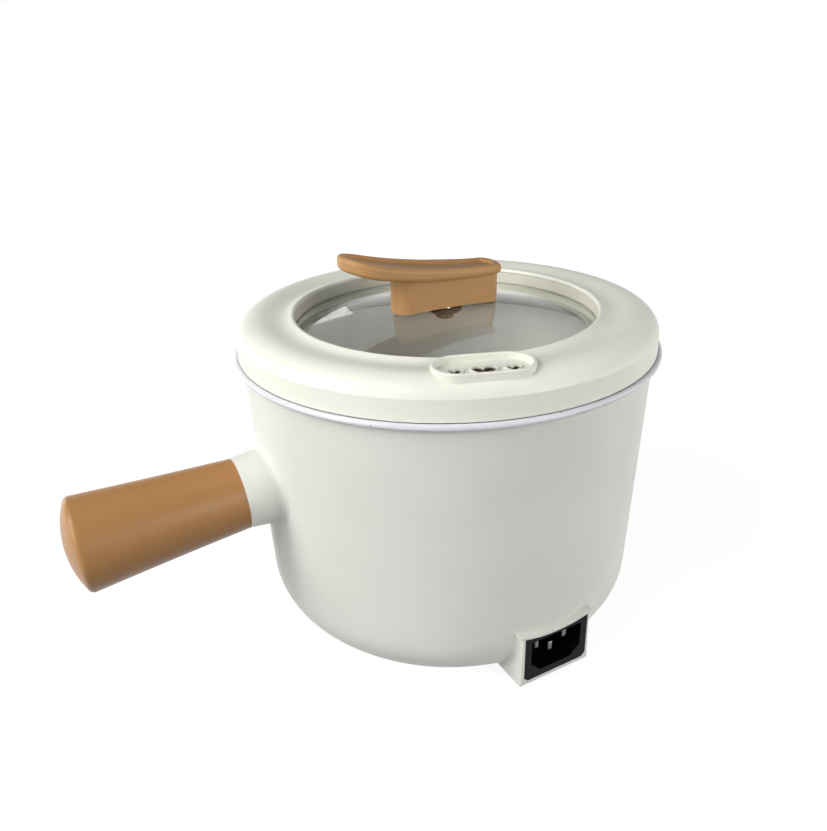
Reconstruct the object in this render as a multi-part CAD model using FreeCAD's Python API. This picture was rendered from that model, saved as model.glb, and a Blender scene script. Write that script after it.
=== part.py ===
import FreeCAD, Part
import math
import os

# An electric hot pot: a metal cooking pot in a plastic shell, with a side handle, a mains inlet
# and a loose glass lid. Millimetres, +Z up. The origin is on the pot's axis, at the level that
# the pot stands on. The side handle points along -X and the mains inlet along -Y.

V = FreeCAD.Vector
UP = V(0, 0, 1)

# Cooking pot: spun metal, with a flat flange that ends in a rolled bead
POT_MOUTH_R = 79.0
POT_TAPER = 0.03
POT_WALL = 1.2
POT_FLOOR_Z = 29.2
POT_CORNER_R = 16.0
POT_MOUTH_ROUND = 2.0
FLANGE_TOP_Z = 122.4
FLANGE_WIDTH = 11.0
RIM_R = POT_MOUTH_R + FLANGE_WIDTH
BEAD_R = 1.3
BEAD_RISE = 0.1
BEAD_Z = FLANGE_TOP_Z + BEAD_RISE

# Outer shell: a plastic cup with a slight taper and a large round at its bottom edge
SHELL_GAP = 4.1
SHELL_WALL = 2.4
SHELL_TOP_R = POT_MOUTH_R + POT_WALL + SHELL_GAP + SHELL_WALL
RIM_SEAL_THICK = 1.0
SHELL_TOP_Z = FLANGE_TOP_Z - POT_WALL - RIM_SEAL_THICK
SHELL_TAPER = 0.032
SHELL_BASE_Z = 1.6
SHELL_CORNER_R = 23.0

# Opening in the shell's bottom, with the lip that the clamp bracket pulls on
BASE_BORDER = 29.2
OPENING_R = SHELL_TOP_R - BASE_BORDER
LIP_WIDTH = 4.5
REBATE_R = OPENING_R + LIP_WIDTH
LIP_Z = 4.2
LIP_THICK = 2.0

# Heating plate, tubular element and its controls, under the pot's floor
PLATE_BORDER = 23.0
PLATE_R = POT_MOUTH_R - PLATE_BORDER
PLATE_THICK = 3.0
ARM_ANGLES = (90, 210, 330)
STUD_CIRCLE_R = 26.0
STUD_R = 2.0
STUD_LENGTH = 17.0
ELEMENT_BORDER = 11.0
ELEMENT_LOOP_R = PLATE_R - ELEMENT_BORDER
ELEMENT_TUBE_R = 3.6
ELEMENT_HALF_GAP = 30
COLD_END = 12.0
TERMINAL_R = 1.3
TERMINAL_LENGTH = 6.0
THERMOSTAT_R = 8.0
THERMOSTAT_HEIGHT = 9.0
EAR_HALF_SPAN = 14.0
EAR_HALF_WIDTH = 4.0
EAR_THICK = 1.0
EAR_SCREW_X = 11.0
EAR_SCREW_R = 1.5
THERMOSTAT_TAB_X = 4.5
THERMOSTAT_TAB_REACH = 15.0
FUSE_R = 2.0
FUSE_LENGTH = 12.0
FUSE_X = -8.0
FUSE_Y = -24.0

# Clamp bracket: pressed steel, raised in its middle, with three arms
BRACKET_THICK = 1.2
BRACKET_TOP_Z = 13.8
BRACKET_REACH_GAP = 1.0
BRACKET_REACH = REBATE_R - BRACKET_REACH_GAP
BRACKET_FOOT = 7.0
BRACKET_FOOT_R = BRACKET_REACH - BRACKET_FOOT
BRACKET_SLOPE = 12.0
BRACKET_PLATEAU_R = BRACKET_FOOT_R - BRACKET_SLOPE
BRACKET_EYE_R = 12.0
BRACKET_HUB_R = 32.0
ARM_WIDTH = 18.0
NUT_FLATS = 7.0
NUT_HEIGHT = 3.2
LUG_R = 4.2
LUG_THICK = 0.8

# Base cover, its screws and the rubber foot ring
COVER_FLANGE_THICK = 1.4
COVER_THICK = 2.2
COVER_GAP = 0.3
PILLAR_CIRCLE_R = 36.4
PILLAR_R = 4.6
SCREW_R = 1.6
SCREW_HEAD_R = 3.0
SCREW_HEAD_HEIGHT = 2.2
SCREW_SINK = 3.2
SLOT_COUNT = 12
SLOT_INNER_R = 16.0
SLOT_LENGTH = 14.0
SLOT_WIDTH = 2.4
FOOT_BORDER = 9.5
FOOT_RING_R = REBATE_R - FOOT_BORDER
FOOT_WIDTH = 5.0
FOOT_GROOVE = 1.0
FOOT_ROUND = 0.8

# Pod of the shell, around the mains inlet
POD_INSET = 1.2
POD_FACE_Y = SHELL_TOP_R - POD_INSET
POD_HALF_WIDTH = 16.3
POD_FLARE = 0.8
POD_TOP_Z = 25.6
POD_TOP_RISE = 2.0
POD_WALL = 2.4
POD_REACH = 24.0
POD_CORNER = 1.5
POD_BLEND = 3.0
POD_SIDE_ROUND = 0.6
POD_FOOT_ROUND = 3.0
POD_FOOT_DIP = 0.15
BROW_THICK = 1.1
BROW_OVERHANG = 1.4

# Mains inlet: black body with a recess for the plug and three pins
INLET_HALF_WIDTH = 15.4
INLET_BOTTOM_Z = 5.0
INLET_CHAMFER = 1.8
INLET_FLANGE = 2.0
INLET_FIT = 0.1
RECESS_WIDTH = 24.5
RECESS_BOTTOM_Z = 8.1
RECESS_TOP_Z = 23.6
RECESS_CHAMFER = 4.6
RECESS_DEPTH = 17.5
RECESS_WALL = 1.3
RECESS_ROOF = 0.9
INLET_BACK_WALL = 4.0
PIN_PITCH = 14.0
PIN_CENTRE_Z = 16.1
PIN_OFFSET_Z = 2.0
PIN_WIDTH = 2.0
PIN_HEIGHT = 4.0
PIN_TIP_BACK = 3.4
TAB_LENGTH = 8.0
TAB_HEIGHT = 6.3
TAB_THICK = 0.8
CLIP_HEIGHT = 8.0
CLIP_DEPTH = 1.2
CLIP_LENGTH = 5.0
CLIP_ROOM = 0.3

# Side handle: its axis droops a little; distances are from the pot's axis along the handle
HANDLE_Z = 75.3
HANDLE_INSET = 2.7
HANDLE_ROOT = SHELL_TOP_R - HANDLE_INSET
HANDLE_DROOP = 2.8
COLLAR_LENGTH = 13.8
COLLAR_ROOT_R = 16.2
COLLAR_END = HANDLE_ROOT + COLLAR_LENGTH
COLLAR_END_R = 14.7
COLLAR_ROUND = 1.8
COLLAR_WALL = 2.6
COLLAR_RIB = 1.8
SPIGOT_R = 10.5
SPIGOT_LENGTH = 6.0
GRIP_LENGTH = 62.2
GRIP_WAIST_R = 16.6
GRIP_END = COLLAR_END + GRIP_LENGTH
GRIP_END_R = 18.9
GRIP_DOME = 4.8
GRIP_EDGE_ROUND = 2.6
GRIP_FIT = 0.1
INSERT_R = 5.0
INSERT_LENGTH = 18.0
BOLT_R = 3.0
BOLT_HEAD_R = 5.0
BOLT_HEAD = 1.8
BOLT_FIT = 0.15
WASHER_R = 9.0
WASHER_THICK = 1.0
SEAT_DEPTH = 1.8
BOLT_SEAT = HANDLE_ROOT - SEAT_DEPTH

# Lid ring: a hollow plastic ring that rests on the pot's bead
LID_TURN = -4.2
LID_INSET = 1.8
LID_R = RIM_R - LID_INSET
LID_CLEARANCE = 0.2
LID_BOTTOM_Z = BEAD_Z + BEAD_R + LID_CLEARANCE
SKIRT_LEAN = 0.3
SKIRT_HEIGHT = 8.0
LID_CREASE_R = LID_R - SKIRT_LEAN
LID_CREASE_Z = LID_BOTTOM_Z + SKIRT_HEIGHT
SHOULDER_WIDTH = 2.6
SHOULDER_RISE = 3.9
LID_SHOULDER_R = LID_CREASE_R - SHOULDER_WIDTH
LID_SHOULDER_Z = LID_CREASE_Z + SHOULDER_RISE
RIDGE_WIDTH = 6.8
RIDGE_RISE = 2.2
LID_RIDGE_R = LID_SHOULDER_R - RIDGE_WIDTH
LID_RIDGE_Z = LID_SHOULDER_Z + RIDGE_RISE
RING_WIDTH = 23.9
LID_HOLE_R = LID_R - RING_WIDTH
VALLEY_WIDTH = 4.7
VALLEY_DROP = 1.3
LID_VALLEY_R = LID_HOLE_R + VALLEY_WIDTH
LID_VALLEY_Z = LID_RIDGE_Z - VALLEY_DROP
LID_LIP_WIDTH = 1.2
LID_LIP_DROP = 0.3
LID_LIP_R = LID_HOLE_R + LID_LIP_WIDTH
LID_LIP_Z = LID_RIDGE_Z - LID_LIP_DROP
LID_LIP_ROUND = 1.1
LID_WALL = 2.2
LID_CREASE_ROUND = 0.5
CURB_WIDTH = 1.8
BOSS_COUNT = 6
BOSS_INSET = 8.6
BOSS_CIRCLE_R = LID_R - BOSS_INSET
BOSS_R = 3.0
STAKE_R = 1.4
STAKE_HEIGHT = 5.0
STAKE_FIT = 0.1

# Steam vent: an oval collar on the ring, with three heart-shaped holes in its floor
VENT_ANGLE = -106.5
VENT_INSET = 13.2
VENT_R = LID_R - VENT_INSET
VENT_LENGTH = 36.2
VENT_WIDTH = 18.8
VENT_RISE = 1.5
VENT_RIM_Z = LID_RIDGE_Z + VENT_RISE
VENT_DEPTH = 2.4
VENT_FLOOR_Z = VENT_RIM_Z - VENT_DEPTH
VENT_FLOOR_THICK = 1.2
VENT_ROOT = 1.9
VENT_WALL = 1.5
HEART_OFFSET = 1.2
HEART_R = VENT_R + HEART_OFFSET
HEART_PITCH = 10.0
HEART_WIDTH = 8.4
SIDE_HEART_WIDTH = 4.9
HEART_RIM = 0.8
HEART_RIM_RISE = 0.5
HEART_RIM_ROUND = 0.3

# Glass, its seal and the liner that carries it
GLASS_OVERLAP = 4.2
GLASS_R = LID_HOLE_R + GLASS_OVERLAP
GLASS_THICK = 4.0
GLASS_EDGE_LEVEL = 6.075
GLASS_RISE = 7.925
GLASS_TOP_Z = LID_BOTTOM_Z + GLASS_EDGE_LEVEL + GLASS_RISE
DOME_R = (GLASS_R ** 2 + GLASS_RISE ** 2) / (2 * GLASS_RISE)
GLASS_EDGE_ROUND = 0.8
GLASS_HOLE_R = 3.6
SEAL_THICK = 1.0
SEAL_REACH = 5.0
SEAL_LEVEL = 5.9
SEAL_TOP_Z = LID_BOTTOM_Z + SEAL_LEVEL
SEAL_FIT = 0.1
LINER_LEVEL = 1.0
LINER_TOP_Z = LID_BOTTOM_Z + LINER_LEVEL
LINER_THICK = 2.0
LINER_LEDGE = 1.8
LINER_INNER_R = LID_HOLE_R - LINER_LEDGE
LINER_OUTER_GAP = 0.4
PLUG_GAP = 0.6
PLUG_WALL = 1.8
PLUG_DEPTH = 8.0
PLUG_BOTTOM_Z = LID_BOTTOM_Z - PLUG_DEPTH
PLUG_ROUND = 0.7
LINER_SLOT_R = VENT_R - HEART_OFFSET
LINER_SLOT_WIDTH = 3.2
LINER_SLOT_LENGTH = 20.0

# Lid handle: a stem with bulging ends under a long, upswept plate with a raised rim
STEM_LENGTH = 48.0
STEM_WIDTH = 14.2
STEM_BULGE = 4.0
STEM_CORNER_R = 3.5
PAD_THICK = 0.4
PAD_INSET = 1.0
TIP_X = 46.0
TIP_R = 13.0
TAIL_X = 24.9
TAIL_HALF_WIDTH = 8.7
TAIL_BULGE = 2.5
TAIL_CORNER_R = 4.5
TIP_CREST_RISE = 26.5
TAIL_CREST_RISE = 15.7
TIP_CREST_Z = GLASS_TOP_Z + TIP_CREST_RISE
TAIL_CREST_Z = GLASS_TOP_Z + TAIL_CREST_RISE
SWEEP_DROP = 5.2
WAIST_DROP = 8.3
TAIL_DROP = 10.2
TIP_THICK = 6.0
TAIL_THICK = 3.8
PLATE_EDGE_ROUND = 1.7
RIM_WIDTH = 2.7
RIM_DEPTH = 1.5
STEM_SINK = 1.6

# Screw that holds the lid handle, from under the glass
LID_SCREW_R = 2.0
LID_SCREW_REACH = 12.0
LID_SCREW_HEAD_R = 4.0
LID_SCREW_HEAD = 2.4
WASHER_SEAL_THICK = 1.0
WASHER_SEAL_R = 6.2
CUP_R = 7.2
CUP_THICK = 0.8
CUP_HEIGHT = 1.8
THREAD_FIT = 0.05

# Leads: they run between the bracket and the element
LEAD_R = 1.1
LEAD_GRIP = 3.0
LEAD_ROOM = 0.7

# Levels and places that follow from the sizes above
FLANGE_UNDER_Z = FLANGE_TOP_Z - POT_WALL
PLATE_UNDER_Z = POT_FLOOR_Z - POT_WALL - PLATE_THICK
BRACKET_UNDER_Z = BRACKET_TOP_Z - BRACKET_THICK
COVER_TOP_Z = SHELL_BASE_Z + COVER_THICK
INLET_SEAT_Y = POD_FACE_Y - INLET_FLANGE
RECESS_END_Y = POD_FACE_Y - RECESS_DEPTH
INLET_REAR_Y = RECESS_END_Y - INLET_BACK_WALL
BOX_HALF_WIDTH = RECESS_WIDTH / 2 + RECESS_WALL
BOX_BOTTOM_Z = RECESS_BOTTOM_Z - RECESS_WALL
BOX_TOP_Z = RECESS_TOP_Z + RECESS_ROOF
DOME_CENTRE_Z = GLASS_TOP_Z - DOME_R
GLASS_UNDER_Z = GLASS_TOP_Z - GLASS_THICK
HOLE_FOOT_Z = DOME_CENTRE_Z + math.sqrt(DOME_R ** 2 - LID_HOLE_R ** 2) + SEAL_FIT
CURB_R = GLASS_R + SEAL_THICK + SEAL_FIT
LIVE_X = -PIN_PITCH / 2
LINE_PIN_Z = PIN_CENTRE_Z + PIN_OFFSET_Z
EARTH_PIN_Z = PIN_CENTRE_Z - PIN_OFFSET_Z
TAB_END_Y = INLET_REAR_Y - TAB_LENGTH
LEAD_LEVEL = BRACKET_TOP_Z + LEAD_ROOM + LEAD_R
EARTH_LEAD_LEVEL = BRACKET_UNDER_Z - LEAD_ROOM - LEAD_R


def turned(points):
    """A solid turned about the pot's axis from (radius, height) corners."""
    corners = [V(r, 0, z) for r, z in points]
    corners.append(corners[0])
    return Part.Face(Part.makePolygon(corners)).revolve(V(), UP, 360)


def cylinder(radius, bottom, top, x=0, y=0):
    """An upright cylinder between two heights."""
    return Part.makeCylinder(radius, top - bottom, V(x, y, bottom))


def block(x_half, y_near, y_far, bottom, top):
    """A box centred on x = 0, between two distances from the axis towards the inlet."""
    return Part.makeBox(2 * x_half, y_far - y_near, top - bottom, V(-x_half, -y_far, bottom))


def circles(solid):
    """The circular edges of a solid."""
    real = [edge for edge in solid.Edges if not edge.Degenerated]
    return [edge for edge in real if isinstance(edge.Curve, Part.Circle)]


def rounded(solid, size, spots):
    """The solid with its circular edges at the given (radius, height) spots rounded."""
    edges = []
    for edge in circles(solid):
        for radius, height in spots:
            off = abs(edge.Curve.Radius - radius) + abs(edge.Curve.Center.z - height)
            if off < 0.001:
                edges.append(edge)
    return solid.makeFillet(size, edges)


def on_circle(radius, angle):
    """The x and y of a point at a radius and an angle in degrees."""
    return radius * math.cos(math.radians(angle)), radius * math.sin(math.radians(angle))


def around(shape, angle):
    """A copy of a shape turned about the pot's axis."""
    copy = shape.copy()
    copy.rotate(V(), UP, angle)
    return copy


def oblong(length, width, bottom, top):
    """An upright prism with straight sides along x and round ends."""
    half = (length - width) / 2
    prism = Part.makeBox(2 * half, width, top - bottom, V(-half, -width / 2, bottom))
    for end in (-half, half):
        prism = prism.fuse(cylinder(width / 2, bottom, top, x=end))
    return prism.removeSplitter()


# ---- Body ----------------------------------------------------------------

def shell_radius(z):
    """Outer radius of the shell's cone at a height."""
    return SHELL_TOP_R - SHELL_TAPER * (SHELL_TOP_Z - z)


def shell_form(inset):
    """The shell's cup-shaped volume, pulled in from its outside by a distance."""
    bottom = SHELL_BASE_Z + inset
    corner = (shell_radius(bottom) - inset, bottom)
    form = turned([(0, bottom), corner, (SHELL_TOP_R - inset, SHELL_TOP_Z), (0, SHELL_TOP_Z)])
    return rounded(form, SHELL_CORNER_R - inset, [corner])


def front_outline(half_width, bottom, mid_top, chamfer, flare=0):
    """A face in the x-z plane: flat bottom, straight sides, and a top edge that dips in its middle."""
    ends_z = mid_top + POD_TOP_RISE * (half_width / INLET_HALF_WIDTH) ** 2
    foot = half_width + flare
    top = Part.Arc(V(half_width, 0, ends_z), V(0, 0, mid_top), V(-half_width, 0, ends_z))
    corners = [V(-half_width, 0, ends_z), V(-foot, 0, bottom + chamfer)]
    if chamfer:
        corners += [V(-foot + chamfer, 0, bottom), V(foot - chamfer, 0, bottom)]
    corners += [V(foot, 0, bottom + chamfer), V(half_width, 0, ends_z)]
    sides = Part.makePolygon(corners)
    return Part.Face(Part.Wire([top.toShape()] + sides.Edges))


def from_front(face, y_front, depth):
    """A front outline given depth, from its distance in front of the axis backwards."""
    solid = face.extrude(V(0, depth, 0))
    solid.translate(V(0, -y_front, 0))
    return solid


def pod():
    """The pod's outside: a box that grows out of the shell's rounded bottom edge."""
    block_face = front_outline(POD_HALF_WIDTH, SHELL_BASE_Z, POD_TOP_Z, 0, POD_FLARE)
    solid = from_front(block_face, POD_FACE_Y, POD_REACH)
    keels = [edge for edge in solid.Edges
             if edge.BoundBox.ZMax < SHELL_BASE_Z + 0.01 and edge.BoundBox.YLength > 1]
    solid = solid.makeFillet(POD_CORNER, keels)
    front = -POD_FACE_Y
    base = SHELL_BASE_Z - POD_FOOT_DIP
    low = base + POD_FOOT_ROUND
    mid = POD_FOOT_ROUND * (1 - math.sqrt(0.5))
    foot = Part.Arc(V(0, front, low), V(0, front + mid, base + mid),
                    V(0, front + POD_FOOT_ROUND, base)).toShape()
    rest = Part.makePolygon([
        V(0, front + POD_FOOT_ROUND, base),
        V(0, front + POD_REACH, base),
        V(0, front + POD_REACH, POD_TOP_Z * 2),
        V(0, front, POD_TOP_Z * 2),
        V(0, front, low),
    ])
    side = Part.Face(Part.Wire([foot] + rest.Edges)).extrude(V(4 * POD_HALF_WIDTH, 0, 0))
    side.translate(V(-2 * POD_HALF_WIDTH, 0, 0))
    solid = solid.common(side)
    uprights = [edge for edge in solid.Edges
                if edge.BoundBox.YMax < front + 0.01 and edge.BoundBox.ZLength > POD_TOP_Z / 2]
    return solid.makeFillet(POD_SIDE_ROUND, uprights)


def brow():
    """The thin ledge above the inlet, a little wider than the pod."""
    wide = POD_HALF_WIDTH + BROW_OVERHANG
    upper = front_outline(wide, SHELL_BASE_Z, POD_TOP_Z, 0)
    lower = front_outline(wide, SHELL_BASE_Z, POD_TOP_Z - BROW_THICK, 0)
    return from_front(upper, POD_FACE_Y, POD_REACH).cut(from_front(lower, POD_FACE_Y, POD_REACH))


def blended(shell):
    """The shell with a hollow blend where the pod's sides meet the cup."""
    edges = []
    for edge in shell.Edges:
        box = edge.BoundBox
        beside = POD_HALF_WIDTH - 0.1 < min(abs(box.XMin), abs(box.XMax))
        beside = beside and max(abs(box.XMin), abs(box.XMax)) < POD_HALF_WIDTH + POD_FLARE + 0.1
        if beside and box.YLength > 1 and box.ZLength > 5 and box.YMin > 0.5 - POD_FACE_Y:
            edges.append(edge)
    return shell.makeFillet(POD_BLEND, edges)


def outer_shell():
    """Plastic cup with the pod, the base opening and its lip, and the seat of the handle bolt."""
    form = blended(shell_form(0).fuse(pod()).removeSplitter()).fuse(brow())
    shell = form.cut(shell_form(SHELL_WALL))
    lip = cylinder(REBATE_R + SHELL_WALL, SHELL_BASE_Z, LIP_Z + LIP_THICK)
    shell = shell.fuse(lip)
    shell = shell.cut(cylinder(REBATE_R, 0, LIP_Z))
    shell = shell.cut(cylinder(OPENING_R, 0, LIP_Z + LIP_THICK))
    hollow = block(POD_HALF_WIDTH - POD_WALL, OPENING_R, INLET_SEAT_Y - POD_WALL,
                   LIP_Z + LIP_THICK + 0.2, RECESS_TOP_Z)
    shell = shell.cut(hollow)
    shell = shell.cut(from_front(inlet_outline(INLET_FIT), POD_FACE_Y, POD_FACE_Y - INLET_SEAT_Y))
    gate = block(BOX_HALF_WIDTH + INLET_FIT, OPENING_R, POD_FACE_Y,
                 BOX_BOTTOM_Z - INLET_FIT, BOX_TOP_Z + INLET_FIT)
    shell = shell.cut(gate)
    pocket_far = clip_back() + INLET_FIT
    shell = shell.cut(block(BOX_HALF_WIDTH + CLIP_DEPTH + CLIP_ROOM, pocket_far - CLIP_LENGTH - CLIP_ROOM,
                            pocket_far, PIN_CENTRE_Z - CLIP_HEIGHT / 2 - CLIP_ROOM,
                            PIN_CENTRE_Z + CLIP_HEIGHT / 2 + CLIP_ROOM))
    pad = along_handle([(BOLT_SEAT, 0), (BOLT_SEAT, WASHER_R + 1), (HANDLE_ROOT, WASHER_R + 1),
                        (HANDLE_ROOT, 0)])
    hole = along_handle([(HANDLE_ROOT - 10, 0), (HANDLE_ROOT - 10, BOLT_R + BOLT_FIT),
                         (HANDLE_ROOT + 10, BOLT_R + BOLT_FIT), (HANDLE_ROOT + 10, 0)])
    return shell.fuse(pad).cut(hole).removeSplitter()


def pot_radius(z):
    """Inner radius of the cooking pot at a height."""
    return POT_MOUTH_R - POT_TAPER * (FLANGE_TOP_Z - z)


def pot_form(growth):
    """The cooking pot's inner volume, grown outwards by a distance."""
    bottom = POT_FLOOR_Z - growth
    corner = (pot_radius(bottom) + growth, bottom)
    mouth = (POT_MOUTH_R + growth, FLANGE_TOP_Z)
    form = turned([(0, bottom), corner, mouth, (0, FLANGE_TOP_Z)])
    return rounded(form, POT_CORNER_R + growth, [corner])


def inner_pot():
    """Spun metal pot with a flange and a rolled bead."""
    bead_r = RIM_R - BEAD_R
    flange = cylinder(bead_r, FLANGE_UNDER_Z, FLANGE_TOP_Z)
    pot = pot_form(POT_WALL).fuse(flange).cut(pot_form(0))
    pot = rounded(pot, POT_MOUTH_ROUND, [(POT_MOUTH_R, FLANGE_TOP_Z)])
    return pot.fuse(Part.makeTorus(bead_r, BEAD_R, V(0, 0, BEAD_Z)))


def rim_seal():
    """Soft ring between the pot's flange and the shell's top edge."""
    outer = SHELL_TOP_R - 0.3
    inner = SHELL_TOP_R - SHELL_WALL - 1.4
    return turned([
        (inner, FLANGE_UNDER_Z),
        (outer, FLANGE_UNDER_Z),
        (outer, SHELL_TOP_Z),
        (SHELL_TOP_R - SHELL_WALL - 0.1, SHELL_TOP_Z),
        (SHELL_TOP_R - SHELL_WALL - 0.2, SHELL_TOP_Z - 2),
        (inner, SHELL_TOP_Z - 2),
    ])


# ---- Heating -------------------------------------------------------------

def heater_plate():
    """Aluminium plate brazed under the pot, with three threaded studs."""
    plate = cylinder(PLATE_R, PLATE_UNDER_Z, PLATE_UNDER_Z + PLATE_THICK)
    for angle in ARM_ANGLES:
        x, y = on_circle(STUD_CIRCLE_R, angle)
        plate = plate.fuse(cylinder(STUD_R, PLATE_UNDER_Z - STUD_LENGTH, PLATE_UNDER_Z, x, y))
    for side in (-1, 1):
        screw_hole = cylinder(EAR_SCREW_R, PLATE_UNDER_Z, PLATE_UNDER_Z + 2, side * EAR_SCREW_X)
        plate = plate.cut(screw_hole)
    return plate


def element_z():
    """Height of the tubular element's centre line."""
    return PLATE_UNDER_Z - ELEMENT_TUBE_R - 0.05


def cold_end(side):
    """Where the element's tube ends, and the way it points there."""
    angle = math.radians(-90 + side * ELEMENT_HALF_GAP)
    start = V(ELEMENT_LOOP_R * math.cos(angle), ELEMENT_LOOP_R * math.sin(angle), element_z())
    way = V(math.sin(angle) * side, -math.cos(angle) * side, 0)
    return start, start + way * COLD_END, way


def heater_element():
    """Tubular heating element: one open loop whose cold ends carry a terminal each."""
    right_start, right_end, right_way = cold_end(1)
    left_start, left_end, left_way = cold_end(-1)
    top = V(0, ELEMENT_LOOP_R, element_z())
    loop = Part.Arc(right_start, top, left_start).toShape()
    path = Part.Wire([Part.makeLine(right_end, right_start), loop,
                      Part.makeLine(left_start, left_end)])
    ring = Part.Wire(Part.makeCircle(ELEMENT_TUBE_R, right_end, right_way))
    tube = path.makePipeShell([ring], True, True)
    for end, way in ((right_end, right_way), (left_end, left_way)):
        tube = tube.fuse(Part.makeCylinder(TERMINAL_R, TERMINAL_LENGTH, end, way))
    return tube


def thermostat():
    """Snap-disc thermostat held flat against the heating plate by two ears."""
    ears = Part.makeBox(2 * EAR_HALF_SPAN, 2 * EAR_HALF_WIDTH, EAR_THICK,
                        V(-EAR_HALF_SPAN, -EAR_HALF_WIDTH, PLATE_UNDER_Z - EAR_THICK))
    for side in (-1, 1):
        hole = cylinder(EAR_SCREW_R, PLATE_UNDER_Z - EAR_THICK, PLATE_UNDER_Z, side * EAR_SCREW_X)
        ears = ears.cut(hole)
    bottom = PLATE_UNDER_Z - THERMOSTAT_HEIGHT
    body = ears.fuse(cylinder(THERMOSTAT_R, bottom, PLATE_UNDER_Z))
    for side in (-1, 1):
        tab = Part.makeBox(TAB_HEIGHT, THERMOSTAT_TAB_REACH, TAB_THICK,
                           V(side * THERMOSTAT_TAB_X - TAB_HEIGHT / 2, -THERMOSTAT_TAB_REACH,
                             bottom))
        body = body.fuse(tab)
    return body


def thermostat_screws():
    """The two screws through the thermostat's ears."""
    seat = PLATE_UNDER_Z - EAR_THICK
    screws = []
    for side in (-1, 1):
        x = side * EAR_SCREW_X
        head = cylinder(EAR_SCREW_R * 1.8, seat - EAR_SCREW_R, seat, x)
        screws.append(head.fuse(cylinder(EAR_SCREW_R - THREAD_FIT, seat, seat + 2.5, x)))
    return Part.makeCompound(screws)


def thermal_fuse():
    """Thermal fuse in its sleeve, lying against the heating plate."""
    centre = V(FUSE_X - FUSE_LENGTH / 2, FUSE_Y, PLATE_UNDER_Z - FUSE_R - 0.1)
    body = Part.makeCylinder(FUSE_R, FUSE_LENGTH, centre, V(1, 0, 0))
    return body.makeFillet(FUSE_R / 3, body.Edges[:1] + body.Edges[2:])


def lead(points):
    """A soft lead: a round wire along a smooth curve through a few points."""
    curve = Part.BSplineCurve()
    curve.interpolate([V(*p) for p in points])
    path = Part.Wire(curve.toShape())
    start = Part.Wire(Part.makeCircle(LEAD_R, V(*points[0]), curve.tangent(0)[0]))
    return path.makePipeShell([start], True, True)


def pin_start(name):
    """Two points along a pin's tab, where a lead's terminal grips it."""
    x, z = pin_places()[name]
    return [(x, -TAB_END_Y - LEAD_GRIP, z), (x, -TAB_END_Y + LEAD_GRIP, z)]


def fuse_end(side):
    """Two points outwards from an end of the thermal fuse."""
    x = FUSE_X + side * FUSE_LENGTH / 2
    z = PLATE_UNDER_Z - FUSE_R - 0.1
    return [(x, FUSE_Y, z), (x + side * LEAD_GRIP, FUSE_Y, z)]


def thermostat_end(side):
    """Two points along a tab of the thermostat, outwards."""
    x = side * THERMOSTAT_TAB_X
    z = PLATE_UNDER_Z - THERMOSTAT_HEIGHT + TAB_THICK / 2
    return [(x, LEAD_GRIP - THERMOSTAT_TAB_REACH, z), (x, -LEAD_GRIP - THERMOSTAT_TAB_REACH, z)]


def element_end(side):
    """Two points along a terminal of the element, outwards."""
    start, end, way = cold_end(side)
    tip = end + way * TERMINAL_LENGTH
    return [tuple(tip - way * LEAD_GRIP), tuple(tip + way * LEAD_GRIP)]


def live_lead():
    """From the live tab, under the element, to the thermal fuse."""
    under_loop = (LIVE_X - 8, 3 - ELEMENT_LOOP_R, LEAD_LEVEL)
    near_fuse = (LIVE_X - 12, FUSE_Y - 7, LEAD_LEVEL + LEAD_R)
    route = pin_start("live") + [under_loop, near_fuse] + fuse_end(-1)[::-1]
    return lead(route).cut(pin("live")).cut(thermal_fuse())


def fuse_lead():
    """From the thermal fuse to the thermostat."""
    bend = (THERMOSTAT_TAB_X + 1, FUSE_Y + 2, PLATE_UNDER_Z - 6)
    route = fuse_end(1) + [bend] + thermostat_end(1)[::-1]
    return lead(route).cut(thermal_fuse()).cut(thermostat())


def link_lead():
    """From the thermostat, under the element, to its left terminal."""
    straight = (0.5 - THERMOSTAT_TAB_X, 11 - ELEMENT_LOOP_R, LEAD_LEVEL)
    under_loop = (-0.5, -1 - ELEMENT_LOOP_R, element_z() - ELEMENT_TUBE_R)
    rise = (-1.2, -6 - ELEMENT_LOOP_R, element_z() - LEAD_R)
    route = thermostat_end(-1) + [straight, under_loop, rise] + element_end(-1)[::-1]
    return lead(route).cut(thermostat()).cut(heater_element())


def neutral_lead():
    """From the neutral tab up to the element's right terminal."""
    x, z = pin_places()["neutral"]
    rise = (x - 0.9, 4.6 - TAB_END_Y, z + 0.8)
    bend = (x - 2.8, 5.6 - TAB_END_Y, element_z() - LEAD_R)
    route = pin_start("neutral") + [rise, bend] + element_end(1)[::-1]
    return lead(route).cut(pin("neutral")).cut(heater_element())


def earth_lug():
    """Ring lug under one of the bracket's nuts."""
    x, y = on_circle(STUD_CIRCLE_R, ARM_ANGLES[2])
    bottom = BRACKET_UNDER_Z - LUG_THICK
    lug = cylinder(LUG_R, bottom, BRACKET_UNDER_Z, x, y)
    tongue = Part.makeBox(LUG_R, LUG_R * 2.4, LUG_THICK, V(x - LUG_R / 2, y - LUG_R * 2.4, bottom))
    return lug.fuse(tongue).cut(cylinder(STUD_R + THREAD_FIT, bottom, BRACKET_UNDER_Z, x, y))


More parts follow.
